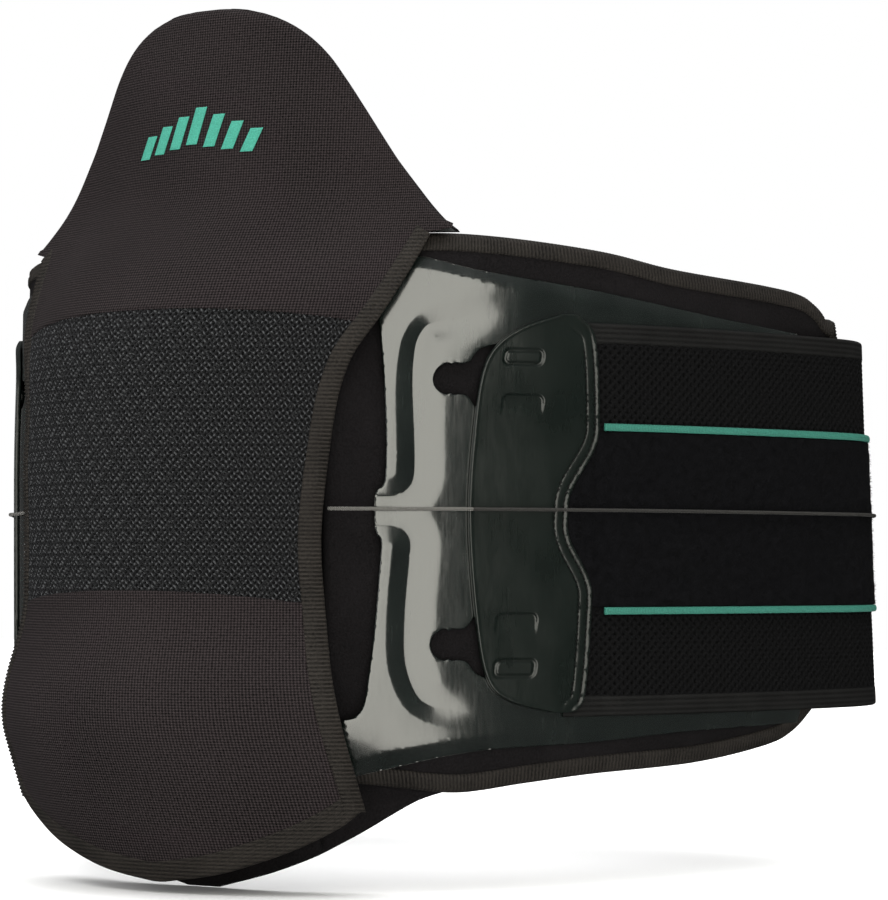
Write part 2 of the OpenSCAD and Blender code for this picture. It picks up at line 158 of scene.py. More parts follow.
def curve(x, points):
    """smooth curve through points (x, y) in rising x, held level past both ends"""
    px, py = np.array(points, float).T
    n = len(px)
    before, after = np.maximum(np.arange(n) - 1, 0), np.minimum(np.arange(n) + 1, n - 1)
    rise = (py[after] - py[before]) / (px[after] - px[before])
    x = np.clip(x, px[0], px[-1])
    i = np.clip(np.searchsorted(px, x, side="right") - 1, 0, n - 2)
    w = px[i + 1] - px[i]
    u = (x - px[i]) / w
    return ((2 * u**3 - 3 * u**2 + 1) * py[i] + (u**3 - 2 * u**2 + u) * w * rise[i]
            + (3 * u**2 - 2 * u**3) * py[i + 1] + (u**3 - u**2) * w * rise[i + 1])


# ---- outlines, in s and z ----
BELL = [(144.8, 132), (149, 124), (154, 117), (160, 109.5), (173, 95), (186, 82.5), (199, 71.5), (212, 62),
        (222, 54.5), (231, 45), (238, 33.5), (242.5, 20), (244.5, 6)]
BELL_TOP = 244.5
COVER_SIDE = [(-98, 81), (-60, 79.5), (-20, 77), (15, 75), (50, 78), (88, 82), (108, 91.5), (128, 102),
              (144, 111)]
COVER_FOOT = [(0, -130), (23, -125.5), (39, -119.8), (53.5, -113.4), (69, -104.8), (81, -96.5)]
WING_TOP = [(76, 144), (128, 144), (197, 139), (239, 133), (294, 129), (314, 127), (324, 124), (334, 117),
            (344, 100)]
WING_FOOT = [(76, -87), (98, -89), (130, -91.5), (164, -88), (197, -85), (251, -82), (294, -76), (310, -71),
             (322, -63), (334, -52), (344, -35)]
LINING_FOOT = [(40, -123), (52, -121), (68, -114.3), (83, -107.8), (98, -101), (113, -94.8), (128, -91)]
PLATE_TOP = [(84, 134), (106, 134), (138, 128), (196, 121), (258, 113), (311, 108)]
PLATE_FOOT = [(82, -84), (136, -74), (196, -71), (241, -68), (311, -66)]
PLATE_BACK = [(82, -84), (81, -62), (86, -59.5), (91.5, -53), (95.5, -32), (98, -5), (99.2, 14),
              (97.3, 18.5), (97.3, 34), (100.6, 38.5), (101, 56), (99, 76), (95.5, 94), (91, 108),
              (84, 115), (84, 134)]
TAB_BACK = [(-58, 172), (-53, 153), (-44, 143), (-19, 138), (23, 135), (60, 137), (84, 140), (96, 146),
            (104, 158), (110, 176)]
TAB_FRONT = [(-58, 181), (-50, 186), (-15, 189), (-2, 188), (15, 179), (25, 178), (36, 180), (54, 191),
             (68, 193), (100, 191), (110, 183)]


def cover_half(z):
    rim = curve(z, BELL) - 3.5 * (1 - ease((z - 150) / 55))
    above = np.where(z < 146.5, mix(111, rim, (z - 144) / 2.5), rim)
    return np.where(z < 144, curve(z, COVER_SIDE), above)


def cover_t(s, z):
    bulge = COVER_BULGE * (1 - clamp01(np.abs(s) / 80) ** 2)
    ribs = RIB_BULGE * ease((z - 60) / 45) * (1 - ease((z - 108) / 36))
    hips = HIP_BULGE * ease((-8 - z) / 62)
    return mix(STRAP_T + 1.1 + bulge, PAD_T + 3.2, ease((z - 127) / 40)) + hips + ribs


def mesh_top(s):
    return 104 + 7 * (1 - (s / 90) ** 2)


def mesh_foot(s):
    return -12 + 6 * (1 - (s / 80) ** 2)


def wing_t(s):
    return mix(5.4, WING_T, ease((s - 95) / 17))


def belt_hi(s):
    return mix(107.0, 88.0, ease((s - 420) / 140))


def belt_lo(s):
    return mix(-60.0, -41.0, ease((s - 420) / 140))


def closure_rise(s, side):
    """the right front half lies outside the left one"""
    return (CLOSURE_RISE if side > 0 else 0) * ease((s - 430) / 70)


def belt_tilt(s, z):
    """the upper edge of the belt leans in toward the waist from the front corner on"""
    return -7 * (z + 50) / 150 * ease((s - 335) / 45)


def seam_dip(s):
    """how much the belt mesh is pressed thinner where it is sewn under the tab"""
    return (MESH_TH - SEAM_TH) * (1 - ease((s - 193) / 12))


# ---- paths ----
def spline(points, step=1.0, closed=False):
    """smooth path through (s, z) points, with a point about every step mm"""
    p = np.array(points, float)
    ends = ([p[-1]], [p[0], p[1]]) if closed else ([2 * p[0] - p[1]], [2 * p[-1] - p[-2]])
    ring = np.vstack([*ends[0], p, *ends[1]])
    out = []
    for k in range(1, len(ring) - 2):
        a, b, c, d = ring[k - 1:k + 3]
        u = np.linspace(0, 1, max(2, math.ceil(np.linalg.norm(c - b) / step)), endpoint=False)[:, None]
        square, cube = 2 * a - 5 * b + 4 * c - d, 3 * b - a - 3 * c + d
        out.append(0.5 * (2 * b + (c - a) * u + square * u**2 + cube * u**3))
    return np.vstack(out if closed else [*out, p[-1:]])


def lengths(path):
    return np.concatenate([[0], np.cumsum(np.linalg.norm(np.diff(path, axis=0), axis=1))])


def resample(path, step):
    run = lengths(path)
    at = np.linspace(0, run[-1], max(2, round(run[-1] / step) + 1))
    return np.stack([np.interp(at, run, path[:, k]) for k in range(2)], axis=1)


def normals(way):
    """unit vectors to the left of each direction"""
    return np.stack([-way[:, 1], way[:, 0]], 1) / np.linalg.norm(way, axis=1)[:, None]


def path_normals(path):
    return normals(np.gradient(path, lengths(path), axis=0))


def band_along(path, width):
    """at(U, V) over a band that reaches width mm to the left of the path, and the path's length"""
    run, normal = lengths(path), path_normals(path)

    def at(u, v):
        follow = lambda values: np.interp(u * run[-1], run, values)
        return tuple(follow(path[:, k]) + follow(normal[:, k]) * v * width for k in range(2))
    return at, float(run[-1])


def nearest(s, z, path):
    """distance from each point to the path, plus on its left, and how far along the path that is"""
    p = np.stack([np.ravel(s), np.ravel(z)], axis=1)
    a, b = path[:-1], path[1:]
    d = b - a
    size = np.maximum((d ** 2).sum(1), 1e-12)
    run = lengths(path)
    best, sign, along = np.full(len(p), 1e9), np.ones(len(p)), np.zeros(len(p))
    for k in range(len(a)):
        u = np.clip(((p - a[k]) @ d[k]) / size[k], 0, 1)
        q = p - a[k] - u[:, None] * d[k]
        dist = np.hypot(q[:, 0], q[:, 1])
        near = dist < best - 1e-9
        best[near] = dist[near]
        sign[near] = np.where(d[k, 0] * q[near, 1] - d[k, 1] * q[near, 0] >= 0, 1, -1)
        along[near] = run[k] + u[near] * (run[k + 1] - run[k])
    shape = np.shape(s)
    return (best * sign).reshape(shape), along.reshape(shape)


def inside(s, z, ring):
    """whether each point is inside a closed path"""
    hit = np.zeros(np.shape(s), bool)
    for (s0, z0), (s1, z1) in zip(ring, np.roll(ring, -1, axis=0)):
        if z0 != z1:
            cross = s0 + (z - z0) * (s1 - s0) / (z1 - z0)
            hit ^= ((z0 > z) != (z1 > z)) & (s < cross)
    return hit


def within(p, rings):
    """whether each point is inside the first ring and outside the others"""
    ok = inside(p[:, 0], p[:, 1], rings[0])
    for ring in rings[1:]:
        ok &= ~inside(p[:, 0], p[:, 1], ring)
    return ok


def looped(ring):
    return np.vstack([ring, ring[:1]])


def ripple(s, z, cell, seed):
    """smooth noise from -1 to 1, with one value per cell of that many mm"""
    table = np.random.default_rng(seed).uniform(-1, 1, (97, 97))
    x, y = np.asarray(s) / cell, np.asarray(z) / cell
    i, j = np.floor(x).astype(int), np.floor(y).astype(int)
    u, v = ease(x - i), ease(y - j)
    pick = lambda a, b: table[a % 97, b % 97]
    return mix(mix(pick(i, j), pick(i + 1, j), u), mix(pick(i, j + 1), pick(i + 1, j + 1), u), v)


# ---- mesh builders ----
def make_mesh(name, verts, faces, cloth, side=1):
    """object from points in metres, arrays of faces, and each point's (s, z) in mm as its UV"""
    faces = [np.asarray(f)[:, ::side] for f in faces if len(f)]
    corners = np.concatenate([f.ravel() for f in faces])
    counts = np.concatenate([np.full(len(f), f.shape[1]) for f in faces])
    mesh = bpy.data.meshes.new(name)
    mesh.vertices.add(len(verts))
    mesh.vertices.foreach_set("co", np.asarray(verts, np.float32).ravel())
    mesh.loops.add(len(corners))
    mesh.loops.foreach_set("vertex_index", corners.astype(np.int32))
    mesh.polygons.add(len(counts))
    mesh.polygons.foreach_set("loop_start", np.concatenate([[0], np.cumsum(counts)[:-1]]).astype(np.int32))
    mesh.update(calc_edges=True)
    layer = mesh.uv_layers.new(name="cloth")
    layer.data.foreach_set("uv", (np.asarray(cloth)[corners] * MM).astype(np.float32).ravel())
    mesh.shade_smooth()
    mesh.validate()
    piece = bpy.data.objects.new(name, mesh)
    bpy.context.scene.collection.objects.link(piece)
    return piece


def joined(parts):
    """(verts, faces, cloth) of several such triples as one"""
    verts, faces, cloth, base = [], [], [], 0
    for v, f, c in parts:
        verts.append(v)
        cloth.append(c)
        faces += [np.asarray(x) + base for x in f if len(x)]
        base += len(v)
    return np.concatenate(verts), faces, np.concatenate(cloth)


def side_walls(pairs, drop):
    """faces from the free edges of a top face down to its copy, whose ids are higher by drop"""
    backward = set(map(tuple, pairs[:, ::-1].tolist()))
    rim = np.array([pair for pair in pairs.tolist() if tuple(pair) not in backward])
    return np.stack([rim[:, 1], rim[:, 0], rim[:, 0] + drop, rim[:, 1] + drop], 1)


def steps(length, pitch, rim_a, rim_b):
    """places from 0 to 1 along a side, close together where each rim turns over"""
    turn = np.array([0.0, 0.06, 0.22, 0.5, 1.0])
    middle = np.linspace(rim_a, length - rim_b, max(2, math.ceil((length - rim_a - rim_b) / pitch) + 1))
    a = turn[:-1] * rim_a if rim_a else []
    b = length - turn[-2::-1] * rim_b if rim_b else []
    return np.concatenate([a, middle, b]) / length


def call(f, s, z):
    return f(s, z) if callable(f) else np.full(np.shape(s), float(f))


def sheet_parts(at, size, pitch, t_in, t_out, rims, side=1, relief=None):
    """closed fabric over a grid: at(U, V) -> s, z. rims are the edge radii at U=0, U=1, V=0 and V=1, or one
    number for all. relief(U, V) is added to the outer face."""
    rims = np.broadcast_to(rims, 4)
    u = steps(size[0], pitch[0], rims[0], rims[1])
    v = steps(size[1], pitch[1], rims[2], rims[3])
    U, V = np.meshgrid(u, v)
    s, z = at(U, V)
    edge = np.minimum.reduce([U * size[0] / rims[0], (1 - U) * size[0] / rims[1],
                              V * size[1] / rims[2], (1 - V) * size[1] / rims[3]])
    full = np.sqrt(1 - (1 - clamp01(edge)) ** 2)
    hi, lo = call(t_out, s, z) + (relief(U, V) if relief else 0), call(t_in, s, z)
    mid, half = (hi + lo) / 2, (hi - lo) / 2 * full
    nv, nu = U.shape
    ids = np.arange(nv * nu).reshape(nv, nu)
    rim = np.zeros((nv, nu), bool)
    rim[[0, -1], :] = True
    rim[:, [0, -1]] = True
    under = ids.copy()
    under[~rim] = nv * nu + np.arange((~rim).sum())
    quads = lambda k: np.stack([k[:-1, :-1], k[:-1, 1:], k[1:, 1:], k[1:, :-1]], -1).reshape(-1, 4)
    outer, inner = place(s, z, mid + half, side), place(s, z, mid - half, side)
    cloth = np.stack([s, z], -1)
    verts = np.concatenate([outer.reshape(-1, 3), inner[~rim]])
    faces = [quads(ids)[:, ::side], quads(under)[:, ::-side]]
    return verts, faces, np.concatenate([cloth.reshape(-1, 2), cloth[~rim]])


def sheet(name, *shape, **more):
    return make_mesh(name, *sheet_parts(*shape, **more))


def strip_at(s0, s1, lo, hi):
    """at(U, V) between two heights that follow s"""
    def at(u, v):
        s = mix(s0, s1, u)
        return s, mix(call(lo, s, 0), call(hi, s, 0), v)
    return at


def moulding(name, outline, holes, pitch, t_in, t_out, edge, side=1, marks=(), under=0.4):
    """closed sheet inside an outline of (s, z) points, with holes, edges rounded to a radius of edge, and a
    height t_out(s, z) that may carry relief. marks are paths that get extra points beside them, and under is
    the share of the rounding that the inner face has."""
    gaps = [pitch] + [min(pitch, 0.8)] * len(holes)
    rings = [resample(looped(r), gap)[:-1] for r, gap in zip([outline, *holes], gaps)]
    loops = [r + np.random.default_rng(5).uniform(-1e-6, 1e-6, r.shape) for r in rings]
    low, high = outline.min(0), outline.max(0)
    row = pitch * math.sqrt(3) / 2
    z, s = np.mgrid[low[1]:high[1]:row, low[0]:high[0]:pitch]
    s = s + (np.arange(len(s)) % 2)[:, None] * pitch / 2
    grid = np.stack([s.ravel(), z.ravel()], 1)
    extra = [grid]
    for path, offsets in marks:
        normal = normals(np.gradient(path, axis=0))
        extra += [path + normal * far for far in offsets]
    for ring in rings:
        normal = normals(np.roll(ring, -1, axis=0) - np.roll(ring, 1, axis=0))
        extra += [ring + normal * far * sign for far in (0.12 * edge, 0.45 * edge, edge) for sign in (-1, 1)]
    p = np.concatenate(extra)
    keep = within(p, rings)
    p = p[keep]
    wall = np.minimum.reduce([np.abs(nearest(p[:, 0], p[:, 1], looped(r))[0]) for r in rings])
    first = int(keep[:len(grid)].sum())
    ok = wall > 0.1 * edge
    ok[:first] &= wall[:first] > 1.15 * edge
    p, wall = p[ok], wall[ok]
    order = np.unique(np.round(p / 0.12).astype(int), axis=0, return_index=True)[1]
    p, wall = p[np.sort(order)], wall[np.sort(order)]
    everything = np.concatenate([*loops, p])
    wall = np.concatenate([np.zeros(sum(map(len, loops))), wall])
    edges, base = [], 0
    for ring in loops:
        n = len(ring)
        edges += [(base + k, base + (k + 1) % n) for k in range(n)]
        base += n
    made = geometry.delaunay_2d_cdt([Vector(q) for q in everything.tolist()], edges, [], 0, 1e-7)
    points = np.array([tuple(q) for q in made[0]])
    tris = np.array([f for f in made[2] if len(f) == 3])
    source = np.array([o[0] if o else 0 for o in made[3]])
    wall = wall[source]
    tris = tris[within(points[tris].mean(1), rings)]
    a, b, c = (points[tris[:, k]] for k in range(3))
    turn = (b[:, 0] - a[:, 0]) * (c[:, 1] - a[:, 1]) - (b[:, 1] - a[:, 1]) * (c[:, 0] - a[:, 0])
    tris[turn < 0] = tris[turn < 0][:, ::-1]
    tris = tris[np.abs(turn) > 1e-9]
    s, z = points.T
    round_off = edge * (1 - np.sqrt(1 - (1 - clamp01(wall / edge)) ** 2))
    top = place(s, z, call(t_out, s, z) - round_off, side)
    bottom = place(s, z, call(t_in, s, z) + under * round_off, side)
    n = len(points)
    pairs = np.concatenate([tris[:, [0, 1]], tris[:, [1, 2]], tris[:, [2, 0]]])
    faces = [tris, tris[:, ::-1] + n, side_walls(pairs, n)]
    return make_mesh(name, np.concatenate([top, bottom]), faces, np.concatenate([points, points]), side)


def openwork(name, keep, span, cell, hole, depth, t_in, t_out, side=1, crown=0.15):
    """closed net of diamond cells with an oval hole in each, over the cells whose middle keep(s, z) allows"""
    a, b = cell
    (s0, s1), (z0, z1) = span
    i, j = np.meshgrid(np.arange(math.ceil(2 * s0 / a), math.floor(2 * s1 / a) + 1),
                       np.arange(math.ceil(2 * z0 / b), math.floor(2 * z1 / b) + 1))
    i, j = i.ravel(), j.ravel()
    ok = ((i + j) % 2 == 0) & keep(i * a / 2, j * b / 2)
    i, j = i[ok], j[ok]
    around = np.array([(2, 0), (1, 1), (0, 2), (-1, 1), (-2, 0), (-1, -1), (0, -2), (1, -1)])
    keys = np.stack([2 * i, 2 * j], 1)[:, None, :] + around
    corner, ids = np.unique(keys.reshape(-1, 2), axis=0, return_inverse=True)
    ids = ids.reshape(-1, 8)
    node = (corner % 2 == 0).all(1)
    cs, cz = corner[:, 0] * a / 4, corner[:, 1] * b / 4
    n, m = len(corner), len(i)
    angle = np.arange(8) * math.pi / 4

    def ovals(size, drop):
        s = ((i * a / 2)[:, None] + size * hole[0] * np.cos(angle)).ravel()
        z = ((j * b / 2)[:, None] + size * hole[1] * np.sin(angle)).ravel()
        return place(s, z, call(t_out, s, z) - drop, side), np.stack([s, z], 1)
    top = place(cs, cz, call(t_out, cs, cz) + np.where(node, crown, 0), side)
    ring, ring_cloth = ovals(1, 0.12)
    floor, floor_cloth = ovals(0.8, depth)
    under = place(cs, cz, call(t_in, cs, cz), side)
    ring_id = n + np.arange(8 * m).reshape(m, 8)
    floor_id = ring_id + 8 * m
    under_id = ids + n + 16 * m
    nxt = lambda x: np.roll(x, -1, axis=1)
    collar = np.stack([ids, nxt(ids), nxt(ring_id), ring_id], -1).reshape(-1, 4)
    throat = np.stack([ring_id, nxt(ring_id), nxt(floor_id), floor_id], -1).reshape(-1, 4)
    walls = side_walls(np.stack([ids, nxt(ids)], -1).reshape(-1, 2), n + 16 * m)
    corners = np.stack([cs, cz], 1)
    cloth = np.concatenate([corners, ring_cloth, floor_cloth, corners])
    verts = np.concatenate([top, ring, floor, under])
    return make_mesh(name, verts, [collar, throat, floor_id, under_id[:, ::-1], walls], cloth, side)


def tube_parts(centre, radius, sides, swell=None):
    """closed round tube along points in metres; swell(turn, length) adds to the radius, all in mm"""
    run = lengths(centre) / MM
    way = np.gradient(centre, axis=0)
    way /= np.linalg.norm(way, axis=1)[:, None]
    across = np.cross(way, [0.08, 0.05, 1.0])
    across /= np.linalg.norm(across, axis=1)[:, None]
    up = np.cross(across, way)
    turn = np.arange(sides) * 2 * math.pi / sides
    r = np.full((len(run), sides), float(radius))
    if swell:
        r = r + swell(turn[None, :], run[:, None])
    r[[0, -1]] *= 0.35
    rings = (centre[:, None] + MM * r[..., None] * (np.cos(turn)[None, :, None] * across[:, None]
                                                    + np.sin(turn)[None, :, None] * up[:, None]))
    ids = np.arange(rings.shape[0] * sides).reshape(-1, sides)
    a, b = ids[:-1], ids[1:]
    quads = np.stack([a, b, np.roll(b, -1, 1), np.roll(a, -1, 1)], -1).reshape(-1, 4)
    caps = [ids[:1], ids[-1:, ::-1]]
    cloth = np.stack([np.broadcast_to(run[:, None], r.shape), np.broadcast_to(turn * radius, r.shape)], -1)
    return rings.reshape(-1, 3), [quads, *caps], cloth.reshape(-1, 2)


def braid(turn, run):
    """eight strands, half of them wound each way, over and under"""
    lay = 2 * math.pi * run / 6.5
    one, two = np.cos(4 * turn + 4 * lay), np.cos(4 * turn - 4 * lay)
    return 0.13 * np.maximum(one, two) - 0.04


def dress(piece, material):
    piece.data.materials.clear()
    piece.data.materials.append(material)


def finish_piece(piece, material, replaces=(), body=None, blend=None):
    """dresses a piece, and hangs it on one body, or, given blend, bakes its transform into its mesh and hangs
    it on no body
    """
    dress(piece, material)
    if replaces:
        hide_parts(*replaces)
    if blend:
        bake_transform(piece)
    else:
        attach(piece, body)


# ---- materials ----
def add_node(tree, kind, **settings):
    made = tree.nodes.new("ShaderNode" + kind)
    for key, value in settings.items():
        setattr(made, key, value)
    return made


class Shader:
    """A node material as it is built. Each method adds a node and returns its output."""

    def __init__(self, name, cloth=True, **sockets):
        self.material = bpy.data.materials.new(name)
        self.material.use_nodes = True
        self.tree = self.material.node_tree
        self.surface = self.tree.nodes["Principled BSDF"]
        for key, value in sockets.items():
            self.surface.inputs[key.replace("_", " ")].default_value = value
        if cloth:
            uv = self.node("UVMap")
            uv.uv_map = "cloth"
            place_out = uv.outputs[0]
        else:
            place_out = self.node("TexCoord").outputs["Object"]
        scale = self.node("VectorMath", operation="SCALE")
        scale.inputs["Scale"].default_value = 1 / MM
        self.link(place_out, scale.inputs[0])
        self.mm = scale.outputs[0]
        split = self.node("SeparateXYZ")
        self.link(self.mm, split.inputs[0])
        self.s, self.z = split.outputs[0], split.outputs[1]

    def node(self, kind, **settings):
        return add_node(self.tree, kind, **settings)

    def link(self, value, socket):
        if isinstance(value, bpy.types.NodeSocket):
            self.tree.links.new(value, socket)
        else:
            socket.default_value = value

    def math(self, operation, a, b=0.0):
        made = self.node("Math", operation=operation)
        for value, socket in zip((a, b), made.inputs):
            self.link(value, socket)
        return made.outputs[0]

    def add(self, *values):
        total = values[0]
        for value in values[1:]:
            total = self.math("ADD", total, value)
        return total

    def times(self, a, b):
        return self.math("MULTIPLY", a, b)

    def wave(self, ds, dz, shift=0.0):
        """sine with a period of ds mm along s and dz mm along z; 0 leaves that direction out"""
        angle = [self.times(x, 2 * math.pi / d) for x, d in ((self.s, ds), (self.z, dz)) if d]
        return self.math("SINE", self.add(*angle, shift))

    def noise(self, cell, detail=2.0, stretch=(1.0, 1.0, 1.0), keep=(0.3, 0.7), to=(0.0, 1.0)):
        """noise whose features are about cell mm, with the middle of its range spread over 0 to 1"""
        scale = self.node("VectorMath", operation="MULTIPLY")
        self.link(self.mm, scale.inputs[0])
        scale.inputs[1].default_value = [1 / (cell * k) for k in stretch]
        made = self.node("TexNoise")
        made.inputs["Scale"].default_value = 1.0
        made.inputs["Detail"].default_value = detail
        self.link(scale.outputs[0], made.inputs["Vector"])
        return self.between(made.outputs["Fac"], *keep, *to)

    def between(self, x, low, high, to_low=0.0, to_high=1.0):
        made = self.node("MapRange")
        for value, socket in zip((x, low, high, to_low, to_high), made.inputs):
            self.link(value, socket)
        return made.outputs[0]

    def blend(self, factor, a, b):
        made = self.node("Mix", data_type="RGBA")
        self.link(factor, made.inputs[0])
        for value, socket in ((a, made.inputs[6]), (b, made.inputs[7])):
            self.link((*value, 1.0) if isinstance(value, tuple) else value, socket)
        return made.outputs[2]

    def finish(self, shade, low, high, roughness, height, depth, strength):
        """colour from low to high by shade, a roughness, and bumps whose height of 1 stands for depth mm"""
        bump = self.node("Bump")
        bump.inputs["Strength"].default_value = strength
        bump.inputs["Distance"].default_value = depth * MM
        self.link(height, bump.inputs["Height"])
        self.link(self.blend(shade, low, high), self.surface.inputs["Base Color"])
        self.link(roughness, self.surface.inputs["Roughness"])
        self.link(bump.outputs[0], self.surface.inputs["Normal"])
        return self.material


def knit_material():
    m = Shader("warm_grey_knit", Specular_IOR_Level=0.12)
    height = m.between(m.times(m.wave(2.3, 2.3), m.wave(2.3, -2.3)), -0.45, 0.9)
    mottle = m.noise(1.1, 3)
    broad = m.noise(60, 1, to=(-0.05, 0.05))
    shade = m.add(m.times(height, 0.85), m.times(mottle, 0.3), broad)
    return m.finish(shade, (0.0006, 0.0005, 0.0005), (0.031, 0.0240, 0.0250),
                    m.between(height, 0, 1, 0.98, 0.85), m.add(height, m.times(mottle, 0.4)), 0.25, 0.8)


def net_material(name, low, high, cell):
    """thread of an openwork mesh: near-black with flecked grain, and light dashes in zigzag rows that are a
    painted highlight along the threads
    """
    m = Shader(name, Specular_IOR_Level=0.12)
    zigzag = m.math("PINGPONG", m.s, cell * 0.6)
    rows = m.math("SINE", m.times(m.add(m.z, zigzag), 2 * math.pi / cell))
    # painted highlight: light dashes along the zigzag rows, where the threads would catch the light
    painted_highlight_dashes = m.times(m.between(rows, 0.2, 0.95), m.between(m.wave(cell * 0.6, cell * 2), -0.5, 0.9))
    grain = m.noise(0.7)
    return m.finish(m.add(m.times(painted_highlight_dashes, 0.9), m.times(grain, 0.22)), low, high,
                    m.between(grain, 0, 1, 0.9, 0.65), m.add(painted_highlight_dashes, m.times(grain, 0.5)), 0.2, 0.7)


def tape_material(name, ds, dz, pale):
    """woven tape whose ribs repeat every ds mm along s or dz mm along z"""
    m = Shader(name, Specular_IOR_Level=0.15)
    weave = m.add(m.times(m.wave(ds, dz), 0.7), m.times(m.times(m.wave(0.85, 0.0), m.wave(0.0, 0.85)), 0.3))
    grain = m.noise(0.9, 3)
    broad = m.noise(14, to=(-0.1, 0.1))
    height = m.between(weave, -1, 1)
    shade = m.add(m.times(height, 0.6), m.times(grain, 0.4), broad)
    return m.finish(shade, (0.0006, 0.0005, 0.0005), pale,
                    m.between(height, 0, 1, 0.85, 0.6), m.add(height, m.times(grain, 0.4)), 0.14, 0.8)


def foam_fabric_material():
    m = Shader("brushed_foam_lining", cloth=False, Specular_IOR_Level=0.08)
    nap = m.noise(0.8, 3, keep=(0.25, 0.75))
    shade = m.add(m.times(nap, 0.7), m.times(m.noise(30, 3), 0.25))
    return m.finish(shade, (0.002, 0.0018, 0.0019), (0.010, 0.0088, 0.0095),
                    m.between(nap, 0, 1, 0.98, 0.85), nap, 0.2, 0.6)


def moulded_material(name, deep, pale, rough, flow, coat, gloss):
    """glossy injection-moulded plastic with slow swirls in its gloss and faint flow lines"""
    m = Shader(name, Specular_IOR_Level=gloss, Coat_Weight=coat, Coat_Roughness=0.12, Coat_IOR=1.7)
    swirl = m.noise(16, 3, (1.0, 1.8, 1.0))
    lines = m.noise(3.2, 3, (0.35, 6.0, 1.0))
    specks = m.noise(0.5, keep=(0.35, 0.65))
    height = m.add(m.times(swirl, 1.6), m.times(lines, 0.10), m.times(specks, 0.03))
    return m.finish(swirl, deep, pale, m.add(rough, m.times(swirl, 0.08), m.times(lines, flow)),
                    height, 0.35, 0.35)


def pile_material(name, low, high):
    m = Shader(name, Specular_IOR_Level=0.08)
    fibres = m.noise(0.5, 3, (0.6, 2.4, 1.0))
    tufts = m.noise(3.5, 3)
    return m.finish(m.add(m.times(fibres, 0.6), m.times(tufts, 0.4)), low, high,
                    m.between(fibres, 0, 1, 0.95, 0.75), m.add(fibres, tufts), 0.3, 0.9)


def thread_material(name, low, high, across, along):
    """twisted or satin thread, with a strand every across mm along s and every along mm along z"""
    m = Shader(name, Specular_IOR_Level=0.25)
    strand = m.between(m.wave(across, along), -1, 1)
    grain = m.noise(0.6)
    return m.finish(m.add(m.times(strand, 0.55), m.times(grain, 0.45)), low, high,
                    m.between(strand, 0, 1, 0.7, 0.5), m.add(strand, m.times(grain, 0.3)), 0.12, 0.8)


def metal_material():
    m = Shader("turned_pin_steel", cloth=False, Metallic=1.0)
    grain = m.noise(0.4, 3, (1, 1, 6))
    return m.finish(grain, (0.42, 0.42, 0.43), (0.62, 0.62, 0.63),
                    m.between(grain, 0, 1, 0.24, 0.42), grain, 0.02, 0.5)


def plain_plastic_material(name, low, high, rough):
    m = Shader(name, cloth=False, Specular_IOR_Level=0.45)
    grain = m.noise(0.45, 3)
    return m.finish(m.add(m.times(grain, 0.3), m.times(m.noise(12), 0.6)), low, high,
                    m.between(grain, 0, 1, rough, rough + 0.15), grain, 0.06, 0.5)


KNIT = knit_material()
# the high tones of both nets are the painted highlight on their thread dashes
COVER_NET = net_material("cover_zigzag_mesh", (0.002, 0.002, 0.0025), (0.062, 0.064, 0.067), 2.5)
BELT_NET = net_material("belt_spacer_mesh", (0.0015, 0.0015, 0.0017), (0.0050, 0.0050, 0.0058), 2.0)
TAPE_MAT = tape_material("woven_edge_tape", 1.7, 0.0, (0.027, 0.023, 0.0195))
SIDE_TAPE = tape_material("woven_side_tape", 0.0, 1.7, (0.030, 0.0255, 0.0215))
BAND_TAPE = tape_material("belt_edge_band", 0.0, 2.2, (0.011, 0.011, 0.0105))
FOAM = foam_fabric_material()
PLATE_MAT = moulded_material("side_plate_plastic", (0.003, 0.0055, 0.0045), (0.005, 0.0085, 0.007),
                             rough=0.17, flow=0.05, coat=1.0, gloss=1.0)
TAB_MAT = moulded_material("tab_plastic", (0.003, 0.0055, 0.0043), (0.005, 0.0080, 0.0064),
                           rough=0.24, flow=0.03, coat=0.2, gloss=0.5)
PILE = pile_material("loop_pile", (0.0006, 0.0006, 0.0008), (0.0048, 0.0048, 0.0060))
HOOK = pile_material("hook_sheet", (0.002, 0.002, 0.0023), (0.014, 0.014, 0.015))
MOTIF = thread_material("satin_stitch_thread", (0.018, 0.15, 0.105), (0.075, 0.42, 0.32), 0.0, 0.45)
PIPING = thread_material("woven_piping", (0.012, 0.085, 0.062), (0.040, 0.20, 0.15), 0.8, 0.0)
CORD = thread_material("braided_cord", (0.010, 0.009, 0.008), (0.19, 0.185, 0.17), 0.85, 1.2)
CORD_DARK = thread_material("dark_braided_cord", (0.008, 0.008, 0.007), (0.050, 0.048, 0.045), 0.85, 1.2)
STITCH = thread_material("black_stitching", (0.0012, 0.0012, 0.0012), (0.010, 0.010, 0.010), 0.35, 0.35)
PANEL = plain_plastic_material("thermoformed_panel", (0.010, 0.012, 0.012), (0.028, 0.031, 0.030), 0.55)
PULLEY = plain_plastic_material("pulley_acetal", (0.50, 0.50, 0.46), (0.68, 0.68, 0.64), 0.35)
STEEL = metal_material()


# ---- back: pad, cover, tape, motif and lacing ----
def both_halves(right):
    """closed outline whose right half is given from the bottom up"""
    return np.vstack([right, right[::-1] * [-1, 1]])


def bell_outline(low, high, inset):
    z = np.linspace(low, high, 40)
    return np.stack([curve(z, BELL) - inset, z], 1)


def make_back_pad():
    tail = spline([(8, -134), (33, -127.5), (52, -121), (60, -117.6)], 4)
    ring = both_halves(np.vstack([tail, [(60, SHOULDER)], bell_outline(SHOULDER, BELL_TOP - 2, 0.6)]))
    pad = moulding("back_pad_foam", ring, [], 4.0, PAD_IN, PAD_T, 2.6, under=1)
    finish_piece(pad, FOAM, ["back_pad"], "back")


RIM_Z = np.linspace(146.5, BELL_TOP, 40)
KNIT_RIM = both_halves(np.stack([cover_half(RIM_Z), RIM_Z], 1))[1:-1]


